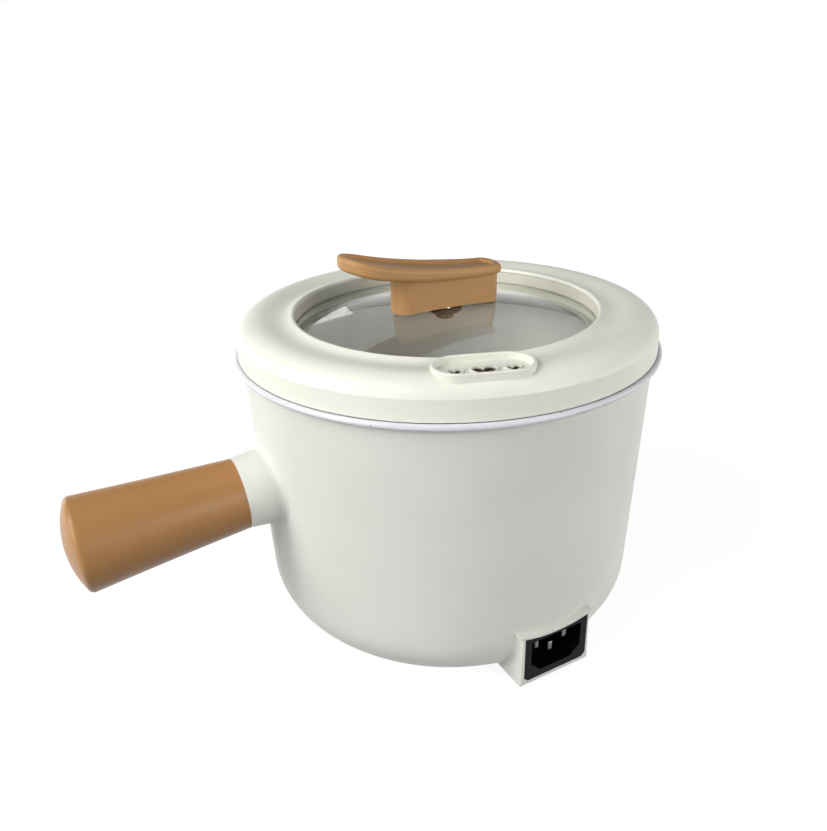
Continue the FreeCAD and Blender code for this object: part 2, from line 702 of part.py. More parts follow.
def earth_lead():
    """From the earth tab, under the bracket, to the ring lug."""
    x, y = on_circle(STUD_CIRCLE_R, ARM_ANGLES[2])
    z = BRACKET_UNDER_Z - LUG_THICK / 2 - LEAD_R
    lug_end = y - LUG_R * 2.4
    first = (x / 4, 10 - TAB_END_Y, EARTH_LEAD_LEVEL)
    second = (x * 0.8, 20 - TAB_END_Y, EARTH_LEAD_LEVEL - LEAD_R)
    route = pin_start("earth") + [first, second]
    route += [(x, lug_end - LEAD_GRIP, z), (x, lug_end + LEAD_GRIP, z)]
    return lead(route).cut(pin("earth")).cut(earth_lug())


# ---- Base ----------------------------------------------------------------

def clamp_bracket():
    """Pressed bracket: the studs pull it up, and its three feet pull the shell against the rim."""
    dish = turned([
        (BRACKET_EYE_R, BRACKET_TOP_Z),
        (BRACKET_PLATEAU_R, BRACKET_TOP_Z),
        (BRACKET_FOOT_R, LIP_Z),
        (BRACKET_REACH, LIP_Z),
        (BRACKET_REACH, LIP_Z - BRACKET_THICK),
        (BRACKET_FOOT_R - BRACKET_THICK / 2, LIP_Z - BRACKET_THICK),
        (BRACKET_PLATEAU_R - BRACKET_THICK / 2, BRACKET_UNDER_Z),
        (BRACKET_EYE_R, BRACKET_UNDER_Z),
    ])
    plan = cylinder(BRACKET_HUB_R, 0, BRACKET_TOP_Z)
    for angle in ARM_ANGLES:
        arm = Part.makeBox(BRACKET_REACH, ARM_WIDTH, BRACKET_TOP_Z, V(0, -ARM_WIDTH / 2, 0))
        plan = plan.fuse(around(arm, angle))
    bracket = dish.common(plan)
    for angle in ARM_ANGLES:
        x, y = on_circle(STUD_CIRCLE_R, angle)
        bracket = bracket.cut(cylinder(STUD_R + 0.2, 0, BRACKET_TOP_Z, x, y))
        x, y = on_circle(PILLAR_CIRCLE_R, angle)
        bracket = bracket.cut(cylinder(SCREW_R + THREAD_FIT, 0, BRACKET_TOP_Z, x, y))
    return bracket.removeSplitter()


def hexagon(flats, bottom, top, x, y):
    """An upright hexagonal prism."""
    corner_r = flats / 2 / math.cos(math.radians(30))
    corners = [V(*on_circle(corner_r, 60 * i), 0) for i in range(7)]
    prism = Part.Face(Part.makePolygon(corners)).extrude(V(0, 0, top - bottom))
    prism.translate(V(x, y, bottom))
    return prism


def bracket_nuts():
    """Three nuts on the studs; one also holds the earth lug."""
    nuts = []
    for angle in ARM_ANGLES:
        x, y = on_circle(STUD_CIRCLE_R, angle)
        top = BRACKET_UNDER_Z
        if angle == ARM_ANGLES[2]:
            top -= LUG_THICK
        nut = hexagon(NUT_FLATS, top - NUT_HEIGHT, top, x, y)
        nuts.append(nut.cut(cylinder(STUD_R + THREAD_FIT, top - NUT_HEIGHT, top, x, y)))
    return Part.makeCompound(nuts)


def base_cover():
    """Plastic cover in the shell's rebate, with air slots, screw pillars and the foot's groove."""
    cover = cylinder(REBATE_R - COVER_GAP, SHELL_BASE_Z, SHELL_BASE_Z + COVER_FLANGE_THICK)
    cover = cover.fuse(cylinder(BRACKET_FOOT_R - 2, SHELL_BASE_Z, COVER_TOP_Z))
    for angle in ARM_ANGLES:
        x, y = on_circle(PILLAR_CIRCLE_R, angle)
        cover = cover.fuse(cylinder(PILLAR_R, SHELL_BASE_Z, BRACKET_UNDER_Z, x, y))
    for angle in ARM_ANGLES:
        x, y = on_circle(PILLAR_CIRCLE_R, angle)
        cover = cover.cut(cylinder(SCREW_R + 0.2, 0, BRACKET_UNDER_Z, x, y))
        cover = cover.cut(cylinder(SCREW_HEAD_R + 0.4, 0, SHELL_BASE_Z + SCREW_SINK, x, y))
    slot = oblong(SLOT_LENGTH, SLOT_WIDTH, 0, COVER_TOP_Z)
    slot.translate(V(SLOT_INNER_R + SLOT_LENGTH / 2, 0, 0))
    for index in range(SLOT_COUNT):
        cover = cover.cut(around(slot, 360 / SLOT_COUNT * index))
    groove_inner = cylinder(FOOT_RING_R - FOOT_WIDTH / 2, 0, SHELL_BASE_Z + FOOT_GROOVE)
    groove = cylinder(FOOT_RING_R + FOOT_WIDTH / 2, 0, SHELL_BASE_Z + FOOT_GROOVE)
    return cover.cut(groove.cut(groove_inner))


def cover_screws():
    """Three screws that hold the base cover to the bracket."""
    seat = SHELL_BASE_Z + SCREW_SINK
    screws = []
    for angle in ARM_ANGLES:
        x, y = on_circle(PILLAR_CIRCLE_R, angle)
        head = cylinder(SCREW_HEAD_R, seat - SCREW_HEAD_HEIGHT, seat, x, y)
        shank = cylinder(SCREW_R, seat, BRACKET_TOP_Z + 1.5, x, y)
        screws.append(head.fuse(shank))
    return Part.makeCompound(screws)


def foot_ring():
    """Rubber ring pressed into the cover's groove; the pot stands on it."""
    inner = FOOT_RING_R - FOOT_WIDTH / 2
    outer = FOOT_RING_R + FOOT_WIDTH / 2
    top = SHELL_BASE_Z + FOOT_GROOVE
    ring = turned([(inner, 0), (outer, 0), (outer, top), (inner, top)])
    return rounded(ring, FOOT_ROUND, [(inner, 0), (outer, 0)])


# ---- Mains inlet ---------------------------------------------------------

def inlet_outline(fit):
    """Front outline of the inlet's flange, grown by a fit."""
    top = POD_TOP_Z - BROW_THICK
    return front_outline(INLET_HALF_WIDTH + fit, INLET_BOTTOM_Z - fit, top + fit, INLET_CHAMFER)


def recess_outline():
    """The plug recess: a rectangle with its two lower corners cut off."""
    half = RECESS_WIDTH / 2
    return Part.Face(Part.makePolygon([
        V(-half, 0, RECESS_TOP_Z),
        V(-half, 0, RECESS_BOTTOM_Z + RECESS_CHAMFER),
        V(-half + RECESS_CHAMFER, 0, RECESS_BOTTOM_Z),
        V(half - RECESS_CHAMFER, 0, RECESS_BOTTOM_Z),
        V(half, 0, RECESS_BOTTOM_Z + RECESS_CHAMFER),
        V(half, 0, RECESS_TOP_Z),
        V(-half, 0, RECESS_TOP_Z),
    ]))


def pin_places():
    """The x and z of the live, neutral and earth pins."""
    return {
        "live": (LIVE_X, LINE_PIN_Z),
        "neutral": (-LIVE_X, LINE_PIN_Z),
        "earth": (0, EARTH_PIN_Z),
    }


def clip_back():
    """Distance from the axis to the shoulder of each snap clip, just behind the pod's front wall."""
    return INLET_SEAT_Y - POD_WALL - INLET_FIT


def inlet_body():
    """Black moulding: a flange in the pod's face, a box behind it, and a snap clip on each side."""
    body = from_front(inlet_outline(0), POD_FACE_Y, INLET_FLANGE)
    box = block(BOX_HALF_WIDTH, INLET_REAR_Y, INLET_SEAT_Y, BOX_BOTTOM_Z, BOX_TOP_Z)
    body = body.fuse(box)
    back = clip_back()
    for side in (-1, 1):
        wall = side * BOX_HALF_WIDTH
        clip = Part.Face(Part.makePolygon([
            V(wall, -back, 0),
            V(wall + side * CLIP_DEPTH, -back, 0),
            V(wall, -back + CLIP_LENGTH, 0),
            V(wall, -back, 0),
        ])).extrude(V(0, 0, CLIP_HEIGHT))
        clip.translate(V(0, 0, PIN_CENTRE_Z - CLIP_HEIGHT / 2))
        body = body.fuse(clip)
    body = body.cut(from_front(recess_outline(), POD_FACE_Y, RECESS_DEPTH))
    for x, z in pin_places().values():
        body = body.cut(pin_blade(x, z, 0.05))
    return body


def pin_blade(x, z, fit):
    """The round-nosed blade of a pin, from the inlet's back to near its face."""
    wide = PIN_WIDTH + 2 * fit
    high = PIN_HEIGHT + 2 * fit
    length = POD_FACE_Y - PIN_TIP_BACK - INLET_REAR_Y
    corner = V(x - wide / 2, -POD_FACE_Y + PIN_TIP_BACK, z - high / 2)
    return Part.makeBox(wide, length, high, corner)


def pin(name):
    """One pin: the blade that the plug takes, and the tab behind it that the lead takes."""
    x, z = pin_places()[name]
    blade = pin_blade(x, z, 0)
    tip = [edge for edge in blade.Edges if abs(edge.BoundBox.YMin - blade.BoundBox.YMin) < 0.001
           and edge.BoundBox.YLength < 0.001]
    blade = blade.makeChamfer(PIN_WIDTH / 4, tip)
    tab = Part.makeBox(TAB_THICK, TAB_LENGTH, TAB_HEIGHT,
                       V(x - TAB_THICK / 2, -INLET_REAR_Y, z - TAB_HEIGHT / 2))
    return blade.fuse(tab)


# ---- Side handle ---------------------------------------------------------

def place_handle(shape):
    """Move a shape built along +x onto the handle's axis."""
    shape.translate(V(-HANDLE_ROOT, 0, 0))
    shape.rotate(V(), UP, 180)
    shape.rotate(V(), V(0, 1, 0), -HANDLE_DROOP)
    shape.translate(V(-HANDLE_ROOT, 0, HANDLE_Z))
    return shape


def along_handle(points):
    """A solid turned about the handle's axis from (distance, radius) corners."""
    corners = [V(s, 0, r) for s, r in points]
    corners.append(corners[0])
    return place_handle(Part.Face(Part.makePolygon(corners)).revolve(V(), V(1, 0, 0), 360))


def handle_collar():
    """Collar between shell and grip: saddle-cut to the shell, ribbed inside, with a spigot."""
    slope = (COLLAR_ROOT_R - COLLAR_END_R) / (COLLAR_END - HANDLE_ROOT)
    start = HANDLE_ROOT - 6
    start_r = COLLAR_ROOT_R + slope * 6
    collar = along_handle([(start, 0), (start, start_r), (COLLAR_END, COLLAR_END_R), (COLLAR_END, 0)])
    collar = collar.cut(shell_form(0))
    saddle = max(collar.Faces, key=lambda face: face.CenterOfMass.x)
    collar = collar.makeFillet(COLLAR_ROUND, [max(saddle.Edges, key=lambda edge: edge.Length)])
    floor = COLLAR_END - COLLAR_WALL
    hub_r = BOLT_R + COLLAR_WALL
    collar = collar.cut(along_handle([
        (start, hub_r),
        (start, start_r - COLLAR_WALL),
        (floor, COLLAR_END_R - COLLAR_WALL),
        (floor, hub_r),
    ]))
    rib = Part.makeBox(floor - HANDLE_ROOT, 2 * (COLLAR_END_R - COLLAR_WALL / 2), COLLAR_RIB,
                       V(HANDLE_ROOT + 1, -COLLAR_END_R + COLLAR_WALL / 2, -COLLAR_RIB / 2))
    for turn in (45, 135):
        turned_rib = rib.copy()
        turned_rib.rotate(V(), V(1, 0, 0), turn)
        collar = collar.fuse(place_handle(turned_rib).cut(shell_form(0)))
    spigot_end = COLLAR_END + SPIGOT_LENGTH
    collar = collar.fuse(along_handle([(floor, 0), (floor, SPIGOT_R), (spigot_end, SPIGOT_R),
                                       (spigot_end, 0)]))
    hole_r = BOLT_R + BOLT_FIT
    return collar.cut(along_handle([(start, 0), (start, hole_r), (spigot_end, hole_r),
                                    (spigot_end, 0)]))


def handle_grip():
    """Turned brown grip: a slow flare to a rounded edge and a domed end."""
    start = V(COLLAR_END, 0, COLLAR_END_R)
    middle = V((COLLAR_END + GRIP_END) / 2, 0, GRIP_WAIST_R)
    edge = V(GRIP_END, 0, GRIP_END_R)
    dome_r = (GRIP_END_R ** 2 + GRIP_DOME ** 2) / (2 * GRIP_DOME)
    dome_rise = math.sqrt(dome_r ** 2 - (GRIP_END_R / 2) ** 2) - dome_r + GRIP_DOME
    dome_end = V(GRIP_END + GRIP_DOME, 0, 0)
    outline = Part.Wire([
        Part.makeLine(V(COLLAR_END, 0, 0), start),
        Part.Arc(start, middle, edge).toShape(),
        Part.Arc(edge, V(GRIP_END + dome_rise, 0, GRIP_END_R / 2), dome_end).toShape(),
        Part.makeLine(dome_end, V(COLLAR_END, 0, 0)),
    ])
    grip = Part.Face(outline).revolve(V(), V(1, 0, 0), 360)
    rims = [edge for edge in circles(grip) if abs(edge.Curve.Radius - GRIP_END_R) < 0.001]
    grip = place_handle(grip.makeFillet(GRIP_EDGE_ROUND, rims))
    socket_end = COLLAR_END + SPIGOT_LENGTH + GRIP_FIT
    grip = grip.cut(along_handle([(COLLAR_END, 0), (COLLAR_END, SPIGOT_R + GRIP_FIT),
                                  (socket_end, SPIGOT_R + GRIP_FIT), (socket_end, 0)]))
    return grip.cut(along_handle([(socket_end, 0), (socket_end, INSERT_R),
                                  (socket_end + INSERT_LENGTH, INSERT_R),
                                  (socket_end + INSERT_LENGTH, 0)]))


def handle_insert():
    """Brass insert moulded into the grip, with a thread for the bolt."""
    start = COLLAR_END + SPIGOT_LENGTH + GRIP_FIT
    insert = along_handle([(start, BOLT_R + THREAD_FIT), (start, INSERT_R),
                           (start + INSERT_LENGTH, INSERT_R), (start + INSERT_LENGTH, 0),
                           (start + INSERT_LENGTH - 2, 0),
                           (start + INSERT_LENGTH - 2, BOLT_R + THREAD_FIT)])
    return insert


def handle_washer():
    """Large steel washer between the shell's inside and the bolt's head."""
    inner = BOLT_R + BOLT_FIT
    seat = BOLT_SEAT - WASHER_THICK
    return along_handle([(seat, inner), (seat, WASHER_R), (BOLT_SEAT, WASHER_R),
                         (BOLT_SEAT, inner)])


def handle_bolt():
    """Low-headed bolt from inside the shell through the collar into the grip."""
    under = BOLT_SEAT - WASHER_THICK
    tip = COLLAR_END + SPIGOT_LENGTH + INSERT_LENGTH - 4
    return along_handle([(under - BOLT_HEAD, 0), (under - BOLT_HEAD, BOLT_HEAD_R),
                         (under, BOLT_HEAD_R), (under, BOLT_R), (tip - 1, BOLT_R),
                         (tip, BOLT_R - 1), (tip, 0)])


# ---- Lid -----------------------------------------------------------------

def place_lid(shape):
    """Turn a piece of the lid to the way the lid lies on the pot."""
    return around(shape, LID_TURN)


def ring_top(inset):
    """The ring's upper surface: up from the crease, over a broad ridge, down to the valley, up again."""
    curve = Part.BSplineCurve()
    curve.interpolate([
        V(LID_CREASE_R - inset, 0, LID_CREASE_Z),
        V(LID_SHOULDER_R - inset * 0.6, 0, LID_SHOULDER_Z - inset * 0.8),
        V(LID_RIDGE_R, 0, LID_RIDGE_Z - inset),
        V(LID_VALLEY_R, 0, LID_VALLEY_Z - inset),
        V(LID_LIP_R, 0, LID_LIP_Z - inset),
    ])
    return curve.toShape()


def ring_form(inset):
    """The lid ring's outside as a turned solid, or its hollow when pulled in by the wall."""
    crease = V(LID_CREASE_R - inset, 0, LID_CREASE_Z)
    lip = V(LID_LIP_R, 0, LID_LIP_Z - inset)
    skirt = V(LID_R - inset, 0, LID_BOTTOM_Z)
    if inset:
        hole_r = LID_HOLE_R + inset
        valley = V(hole_r, 0, LID_VALLEY_Z - inset)
        edges = Part.makePolygon([lip, valley, V(hole_r, 0, 0), V(skirt.x, 0, 0), skirt,
                                  crease]).Edges
    else:
        wall_top = V(LID_HOLE_R, 0, LID_LIP_Z - LID_LIP_ROUND)
        bulge = V(LID_HOLE_R + 0.3, 0, LID_LIP_Z - 0.3)
        edges = [Part.Arc(lip, bulge, wall_top).toShape()]
        edges += Part.makePolygon([
            wall_top,
            V(LID_HOLE_R, 0, HOLE_FOOT_Z),
            V(LID_HOLE_R + LID_WALL, 0, HOLE_FOOT_Z),
            V(LID_R - LID_WALL, 0, LID_BOTTOM_Z),
            skirt,
            crease,
        ]).Edges
    return Part.Face(Part.Wire([ring_top(inset)] + edges)).revolve(V(), UP, 360)


def heart(width, bottom, top):
    """An upright prism with a heart outline, its tip along +x."""
    tip = V(width * 0.56, 0, 0)
    notch = V(width * -0.09, 0, 0)
    edges = []
    for side in (-1, 1):
        shoulder = V(0, side * width / 2, 0)
        crown = V(width * -0.32, side * width * 0.27, 0)
        flank = V(width * 0.30, side * width * 0.31, 0)
        edges.append(Part.Arc(tip, flank, shoulder).toShape())
        edges.append(Part.Arc(shoulder, crown, notch).toShape())
    outline = Part.Wire(Part.__sortEdges__(edges))
    prism = Part.Face(outline).extrude(V(0, 0, top - bottom))
    prism.translate(V(0, 0, bottom))
    return prism


def vent_hearts(growth, bottom, top):
    """Three heart prisms in a row across the vent, tips outwards, grown all round by a width."""
    hearts = []
    for step, width in ((-1, SIDE_HEART_WIDTH), (0, HEART_WIDTH), (1, SIDE_HEART_WIDTH)):
        prism = heart(width + 2 * growth, bottom, top)
        prism.translate(V(HEART_R, step * HEART_PITCH, 0))
        hearts.append(around(prism, VENT_ANGLE))
    return hearts


def vent_prism(inset, bottom, top):
    """The vent collar's oval volume, pulled in by a distance."""
    prism = oblong(VENT_LENGTH - 2 * inset, VENT_WIDTH - 2 * inset, bottom, top)
    prism.rotate(V(), UP, 90)
    prism.translate(V(VENT_R, 0, 0))
    return around(prism, VENT_ANGLE)


def top_edges(solid, height):
    """The edges of a solid that lie flat at a height."""
    return [e for e in solid.Edges if abs(e.BoundBox.ZMin - height) + abs(e.BoundBox.ZMax - height) < 0.001]


def vent_collar():
    """The raised wall around the vent, with its top edge rounded and its floor sunk."""
    collar = vent_prism(0, VENT_FLOOR_Z - VENT_ROOT, VENT_RIM_Z)
    collar = collar.cut(vent_prism(VENT_WALL, VENT_FLOOR_Z, VENT_RIM_Z))
    return collar.makeFillet(VENT_WALL * 0.35, top_edges(collar, VENT_RIM_Z))


def boss_places():
    """The angles and places of the bosses under the ring."""
    angles = [360 / BOSS_COUNT * (i + 0.5) for i in range(BOSS_COUNT)]
    return [on_circle(BOSS_CIRCLE_R, angle) for angle in angles]


def lid_ring():
    """Hollow plastic ring with a raised inner lip and the vent collar."""
    form = ring_form(0)
    form = rounded(form, LID_CREASE_ROUND, [(LID_CREASE_R, LID_CREASE_Z)])
    hollow = ring_form(LID_WALL)
    hollow = hollow.cut(vent_prism(0, VENT_FLOOR_Z - VENT_ROOT, VENT_RIM_Z))
    vent_well = vent_prism(VENT_WALL, VENT_FLOOR_Z, VENT_RIM_Z)
    ring = form.cut(vent_well).fuse(vent_collar()).cut(hollow)
    curb = cylinder(CURB_R + CURB_WIDTH, LINER_TOP_Z, LID_VALLEY_Z - LID_WALL / 2)
    curb = curb.cut(cylinder(CURB_R, LINER_TOP_Z, LID_VALLEY_Z))
    ring = ring.fuse(curb)
    for x, y in boss_places():
        ring = ring.fuse(cylinder(BOSS_R, LINER_TOP_Z, LID_RIDGE_Z - LID_WALL * 0.75, x, y))
    for x, y in boss_places():
        top = LINER_TOP_Z + STAKE_HEIGHT + 0.3
        ring = ring.cut(cylinder(STAKE_R + STAKE_FIT, LINER_TOP_Z, top, x, y))
    rim_top = VENT_FLOOR_Z + HEART_RIM_RISE
    for prism in vent_hearts(HEART_RIM, VENT_FLOOR_Z - 0.2, rim_top):
        ring = ring.fuse(prism.makeFillet(HEART_RIM_ROUND, top_edges(prism, rim_top)))
    for prism in vent_hearts(0, VENT_FLOOR_Z - VENT_ROOT - 1, VENT_RIM_Z):
        ring = ring.cut(prism)
    ring = ring.cut(vent_prism(VENT_WALL * 2, LID_VALLEY_Z - LID_WALL - 1,
                               VENT_FLOOR_Z - VENT_FLOOR_THICK))
    return place_lid(ring.removeSplitter())


def lid_liner():
    """Ring under the glass: its plug centres the lid in the pot, its stakes hold it to the ring."""
    under = LINER_TOP_Z - LINER_THICK
    plug_r = POT_MOUTH_R - PLUG_GAP
    outer = LID_R - LID_WALL - LINER_OUTER_GAP
    liner = turned([
        (LINER_INNER_R, LINER_TOP_Z),
        (outer, LINER_TOP_Z),
        (outer, under),
        (plug_r, under),
        (plug_r, PLUG_BOTTOM_Z),
        (plug_r - PLUG_WALL, PLUG_BOTTOM_Z),
        (plug_r - PLUG_WALL, under),
        (LINER_INNER_R, under),
    ])
    liner = rounded(liner, PLUG_ROUND, [(plug_r, PLUG_BOTTOM_Z), (plug_r - PLUG_WALL, PLUG_BOTTOM_Z)])
    for x, y in boss_places():
        liner = liner.fuse(cylinder(STAKE_R, LINER_TOP_Z, LINER_TOP_Z + STAKE_HEIGHT, x, y))
    slot = oblong(LINER_SLOT_LENGTH, LINER_SLOT_WIDTH, under, LINER_TOP_Z)
    slot.rotate(V(), UP, 90)
    slot.translate(V(LINER_SLOT_R, 0, 0))
    return place_lid(liner.cut(around(slot, VENT_ANGLE)))


def dome_point(radius, reach):
    """The point at a reach from the pot's axis on a ball around the glass's centre of curvature."""
    return V(reach, 0, DOME_CENTRE_Z + math.sqrt(radius ** 2 - reach ** 2))


def dome_arc(radius, near, far):
    """An arc of that ball's outline between two reaches."""
    ends = [dome_point(radius, reach) for reach in (near, (near + far) / 2, far)]
    return Part.Arc(*ends).toShape()


def dome(radius, reach):
    """A round block with the ball's curve on top."""
    top = dome_point(radius, 0)
    edge = dome_point(radius, reach)
    bottom = edge.z - reach
    sides = Part.makePolygon([edge, V(reach, 0, bottom), V(0, 0, bottom), top])
    return Part.Face(Part.Wire([dome_arc(radius, 0, reach)] + sides.Edges)).revolve(V(), UP, 360)


def lid_glass():
    """Domed tempered glass with a rounded edge and a hole for the handle's screw."""
    upper = dome_arc(DOME_R, GLASS_HOLE_R, GLASS_R - GLASS_EDGE_ROUND)
    lower = dome_arc(DOME_R - GLASS_THICK, GLASS_R - GLASS_EDGE_ROUND, GLASS_HOLE_R)
    top = upper.Vertexes[1].Point
    bottom = lower.Vertexes[0].Point
    edge = Part.Arc(top, V(GLASS_R, 0, (top.z + bottom.z) / 2), bottom).toShape()
    hole = Part.makeLine(lower.Vertexes[1].Point, upper.Vertexes[0].Point)
    return Part.Face(Part.Wire([upper, edge, lower, hole])).revolve(V(), UP, 360)


def glass_seal():
    """Silicone ring around and under the glass's edge."""
    outer = GLASS_R + SEAL_THICK
    inner = GLASS_R - SEAL_REACH
    ledge = dome_arc(DOME_R - GLASS_THICK - SEAL_FIT, GLASS_R - GLASS_EDGE_ROUND, inner)
    start = ledge.Vertexes[0].Point
    end = ledge.Vertexes[1].Point
    sides = Part.makePolygon([
        end,
        V(inner, 0, LINER_TOP_Z),
        V(outer, 0, LINER_TOP_Z),
        V(outer, 0, SEAL_TOP_Z),
        V(GLASS_R + SEAL_FIT, 0, SEAL_TOP_Z),
        V(GLASS_R + SEAL_FIT, 0, start.z),
        start,
    ])
    return Part.Face(Part.Wire([ledge] + sides.Edges)).revolve(V(), UP, 360)


def upright_prism(edges, corner_r, bottom, top):
    """A prism on a flat outline, with its four main upright edges rounded."""
    outline = Part.Wire(Part.__sortEdges__(edges))
    prism = Part.Face(outline).extrude(V(0, 0, top - bottom))
    prism.translate(V(0, 0, bottom))
    corners = [e for e in prism.Edges if e.BoundBox.ZLength > (top - bottom) / 2]
    return prism.makeFillet(corner_r, corners)


def stem_prism(inset, top):
    """The stem's volume: flat sides, bulging ends and rounded corners, pulled in by a distance."""
    half = STEM_LENGTH / 2 - inset
    side = STEM_WIDTH / 2 - inset
    corner = half - STEM_BULGE
    edges = [Part.makeLine(V(-corner, y, 0), V(corner, y, 0)) for y in (-side, side)]
    for end in (-1, 1):
        edges.append(Part.Arc(V(end * corner, -side, 0), V(end * half, 0, 0),
                              V(end * corner, side, 0)).toShape())
    return upright_prism(edges, STEM_CORNER_R - inset, GLASS_TOP_Z - GLASS_THICK, top)


def crest_line(drop_at_tip, drop_at_tail):
    """The handle plate's long curve, lowered by amounts that run evenly from its tip to its tail."""
    length = TIP_X + TAIL_X
    heights = (TIP_CREST_Z, TIP_CREST_Z - SWEEP_DROP, TIP_CREST_Z - WAIST_DROP,
               TIP_CREST_Z - TAIL_DROP, TAIL_CREST_Z)
    points = []
    for index, height in enumerate(heights):
        share = index / (len(heights) - 1)
        drop = drop_at_tip + (drop_at_tail - drop_at_tip) * share
        points.append(V(-TIP_X + length * share, 0, height - drop))
    curve = Part.BSplineCurve()
    curve.interpolate(points)
    return curve


def swept_slab(upper, lower):
    """The volume between two long curves, wider than the handle."""
    top = upper.toShape()
    bottom = lower.toShape()
    ends = [Part.makeLine(upper.StartPoint, lower.StartPoint), Part.makeLine(upper.EndPoint, lower.EndPoint)]
    face = Part.Face(Part.Wire(Part.__sortEdges__([top, bottom] + ends)))
    slab = face.extrude(V(0, 4 * TIP_R, 0))
    slab.translate(V(0, -2 * TIP_R, 0))
    return slab


def plate_plan(inset):
    """The plate's volume in plan: a round tip and a blunt tail with rounded corners."""
    tip_r = TIP_R - inset
    side = TAIL_HALF_WIDTH - inset
    tip_x = TIP_R - TIP_X
    tail_x = TAIL_X - inset
    corner_x = tail_x - TAIL_BULGE
    reach = math.hypot(corner_x - tip_x, side)
    lean = math.asin(tip_r / reach) - math.asin(side / reach)
    edges = []
    for way in (1, -1):
        touch = V(tip_x + tip_r * math.sin(lean), way * tip_r * math.cos(lean), 0)
        edges.append(Part.makeLine(touch, V(corner_x, way * side, 0)))
    near, far = edges[0].Vertexes[0].Point, edges[1].Vertexes[0].Point
    edges.append(Part.Arc(near, V(tip_x - tip_r, 0, 0), far).toShape())
    edges.append(Part.Arc(V(corner_x, side, 0), V(tail_x, 0, 0), V(corner_x, -side, 0)).toShape())
    outline = Part.Wire(Part.__sortEdges__(edges))
    top = TIP_CREST_Z + TIP_THICK
    plan = Part.Face(outline).extrude(V(0, 0, top - GLASS_TOP_Z))
    plan.translate(V(0, 0, GLASS_TOP_Z))
    corners = [e for e in plan.Edges if e.BoundBox.ZLength > 1 and e.BoundBox.XMin > corner_x - 0.01]
    return plan.makeFillet(TAIL_CORNER_R - inset, corners)


def handle_plate():
    """The upswept plate: rounded all round, with a flat well inside a raised rim."""
    crest = crest_line(0, 0)
    plate = plate_plan(0).common(swept_slab(crest, crest_line(TIP_THICK, TAIL_THICK)))
    long_edges = [e for e in plate.Edges if e.BoundBox.DiagonalLength > 15]
    plate = plate.makeFillet(PLATE_EDGE_ROUND, long_edges)
    well = swept_slab(crest_line(-TIP_THICK, -TIP_THICK), crest_line(RIM_DEPTH, RIM_DEPTH))
    plate = plate.cut(plate_plan(RIM_WIDTH).common(well))
    return plate


def lid_handle():
    """One brown moulding: plate and stem, the stem's foot curved like the glass."""
    stem = stem_prism(0, TIP_CREST_Z)
    deep = TIP_CREST_RISE + GLASS_THICK * 2
    stem = stem.common(swept_slab(crest_line(STEM_SINK, STEM_SINK), crest_line(deep, deep)))
    stem = stem.cut(dome(DOME_R + PAD_THICK, GLASS_R))
    handle = handle_plate().fuse(stem)
    hole = cylinder(LID_SCREW_R + THREAD_FIT, GLASS_TOP_Z - 1, GLASS_TOP_Z + LID_SCREW_REACH + 1)
    return place_lid(handle.cut(hole).removeSplitter())


def stem_pad():
    """Thin silicone pad between the stem's foot and the glass."""
    pad = stem_prism(PAD_INSET, GLASS_TOP_Z + 2).common(dome(DOME_R + PAD_THICK, GLASS_R))
    pad = pad.cut(dome(DOME_R, GLASS_R))
    return place_lid(pad.cut(cylinder(GLASS_HOLE_R, GLASS_TOP_Z - 1, GLASS_TOP_Z + 2)))


def washer_seal():
    """Silicone washer under the glass."""
    top = GLASS_UNDER_Z - 0.08
    bottom = top - WASHER_SEAL_THICK
    return turned([(LID_SCREW_R + 0.3, bottom), (WASHER_SEAL_R, bottom), (WASHER_SEAL_R, top),
                   (LID_SCREW_R + 0.3, top)])


def cup_washer():
    """Stainless cup washer over the silicone washer."""
    top = GLASS_UNDER_Z - 0.08 - WASHER_SEAL_THICK
    inner = LID_SCREW_R + 0.2
    cup = turned([
        (inner, top),
        (WASHER_SEAL_R + 0.1, top),
        (WASHER_SEAL_R + 0.1, top + CUP_HEIGHT - CUP_THICK - 0.4),
        (CUP_R, top + CUP_HEIGHT - CUP_THICK - 0.4),
        (CUP_R, top),
        (CUP_R - 1, top - CUP_THICK),
        (inner, top - CUP_THICK),
    ])
    return cup


def lid_screw():
    """Stainless pan-head screw with a cross slot, up through the glass into the stem."""
    seat = GLASS_UNDER_Z - 0.08 - WASHER_SEAL_THICK - CUP_THICK
    bottom = seat - LID_SCREW_HEAD
    head = cylinder(LID_SCREW_HEAD_R, bottom, seat)
    head = rounded(head, LID_SCREW_HEAD * 0.5, [(LID_SCREW_HEAD_R, bottom)])
    for turn in (0, 90):
        slot = Part.makeBox(LID_SCREW_HEAD_R * 1.1, 0.9, 1.4, V(-LID_SCREW_HEAD_R * 0.55, -0.45, bottom))
        head = head.cut(around(slot, turn))
    return head.fuse(cylinder(LID_SCREW_R, seat, GLASS_TOP_Z + LID_SCREW_REACH))


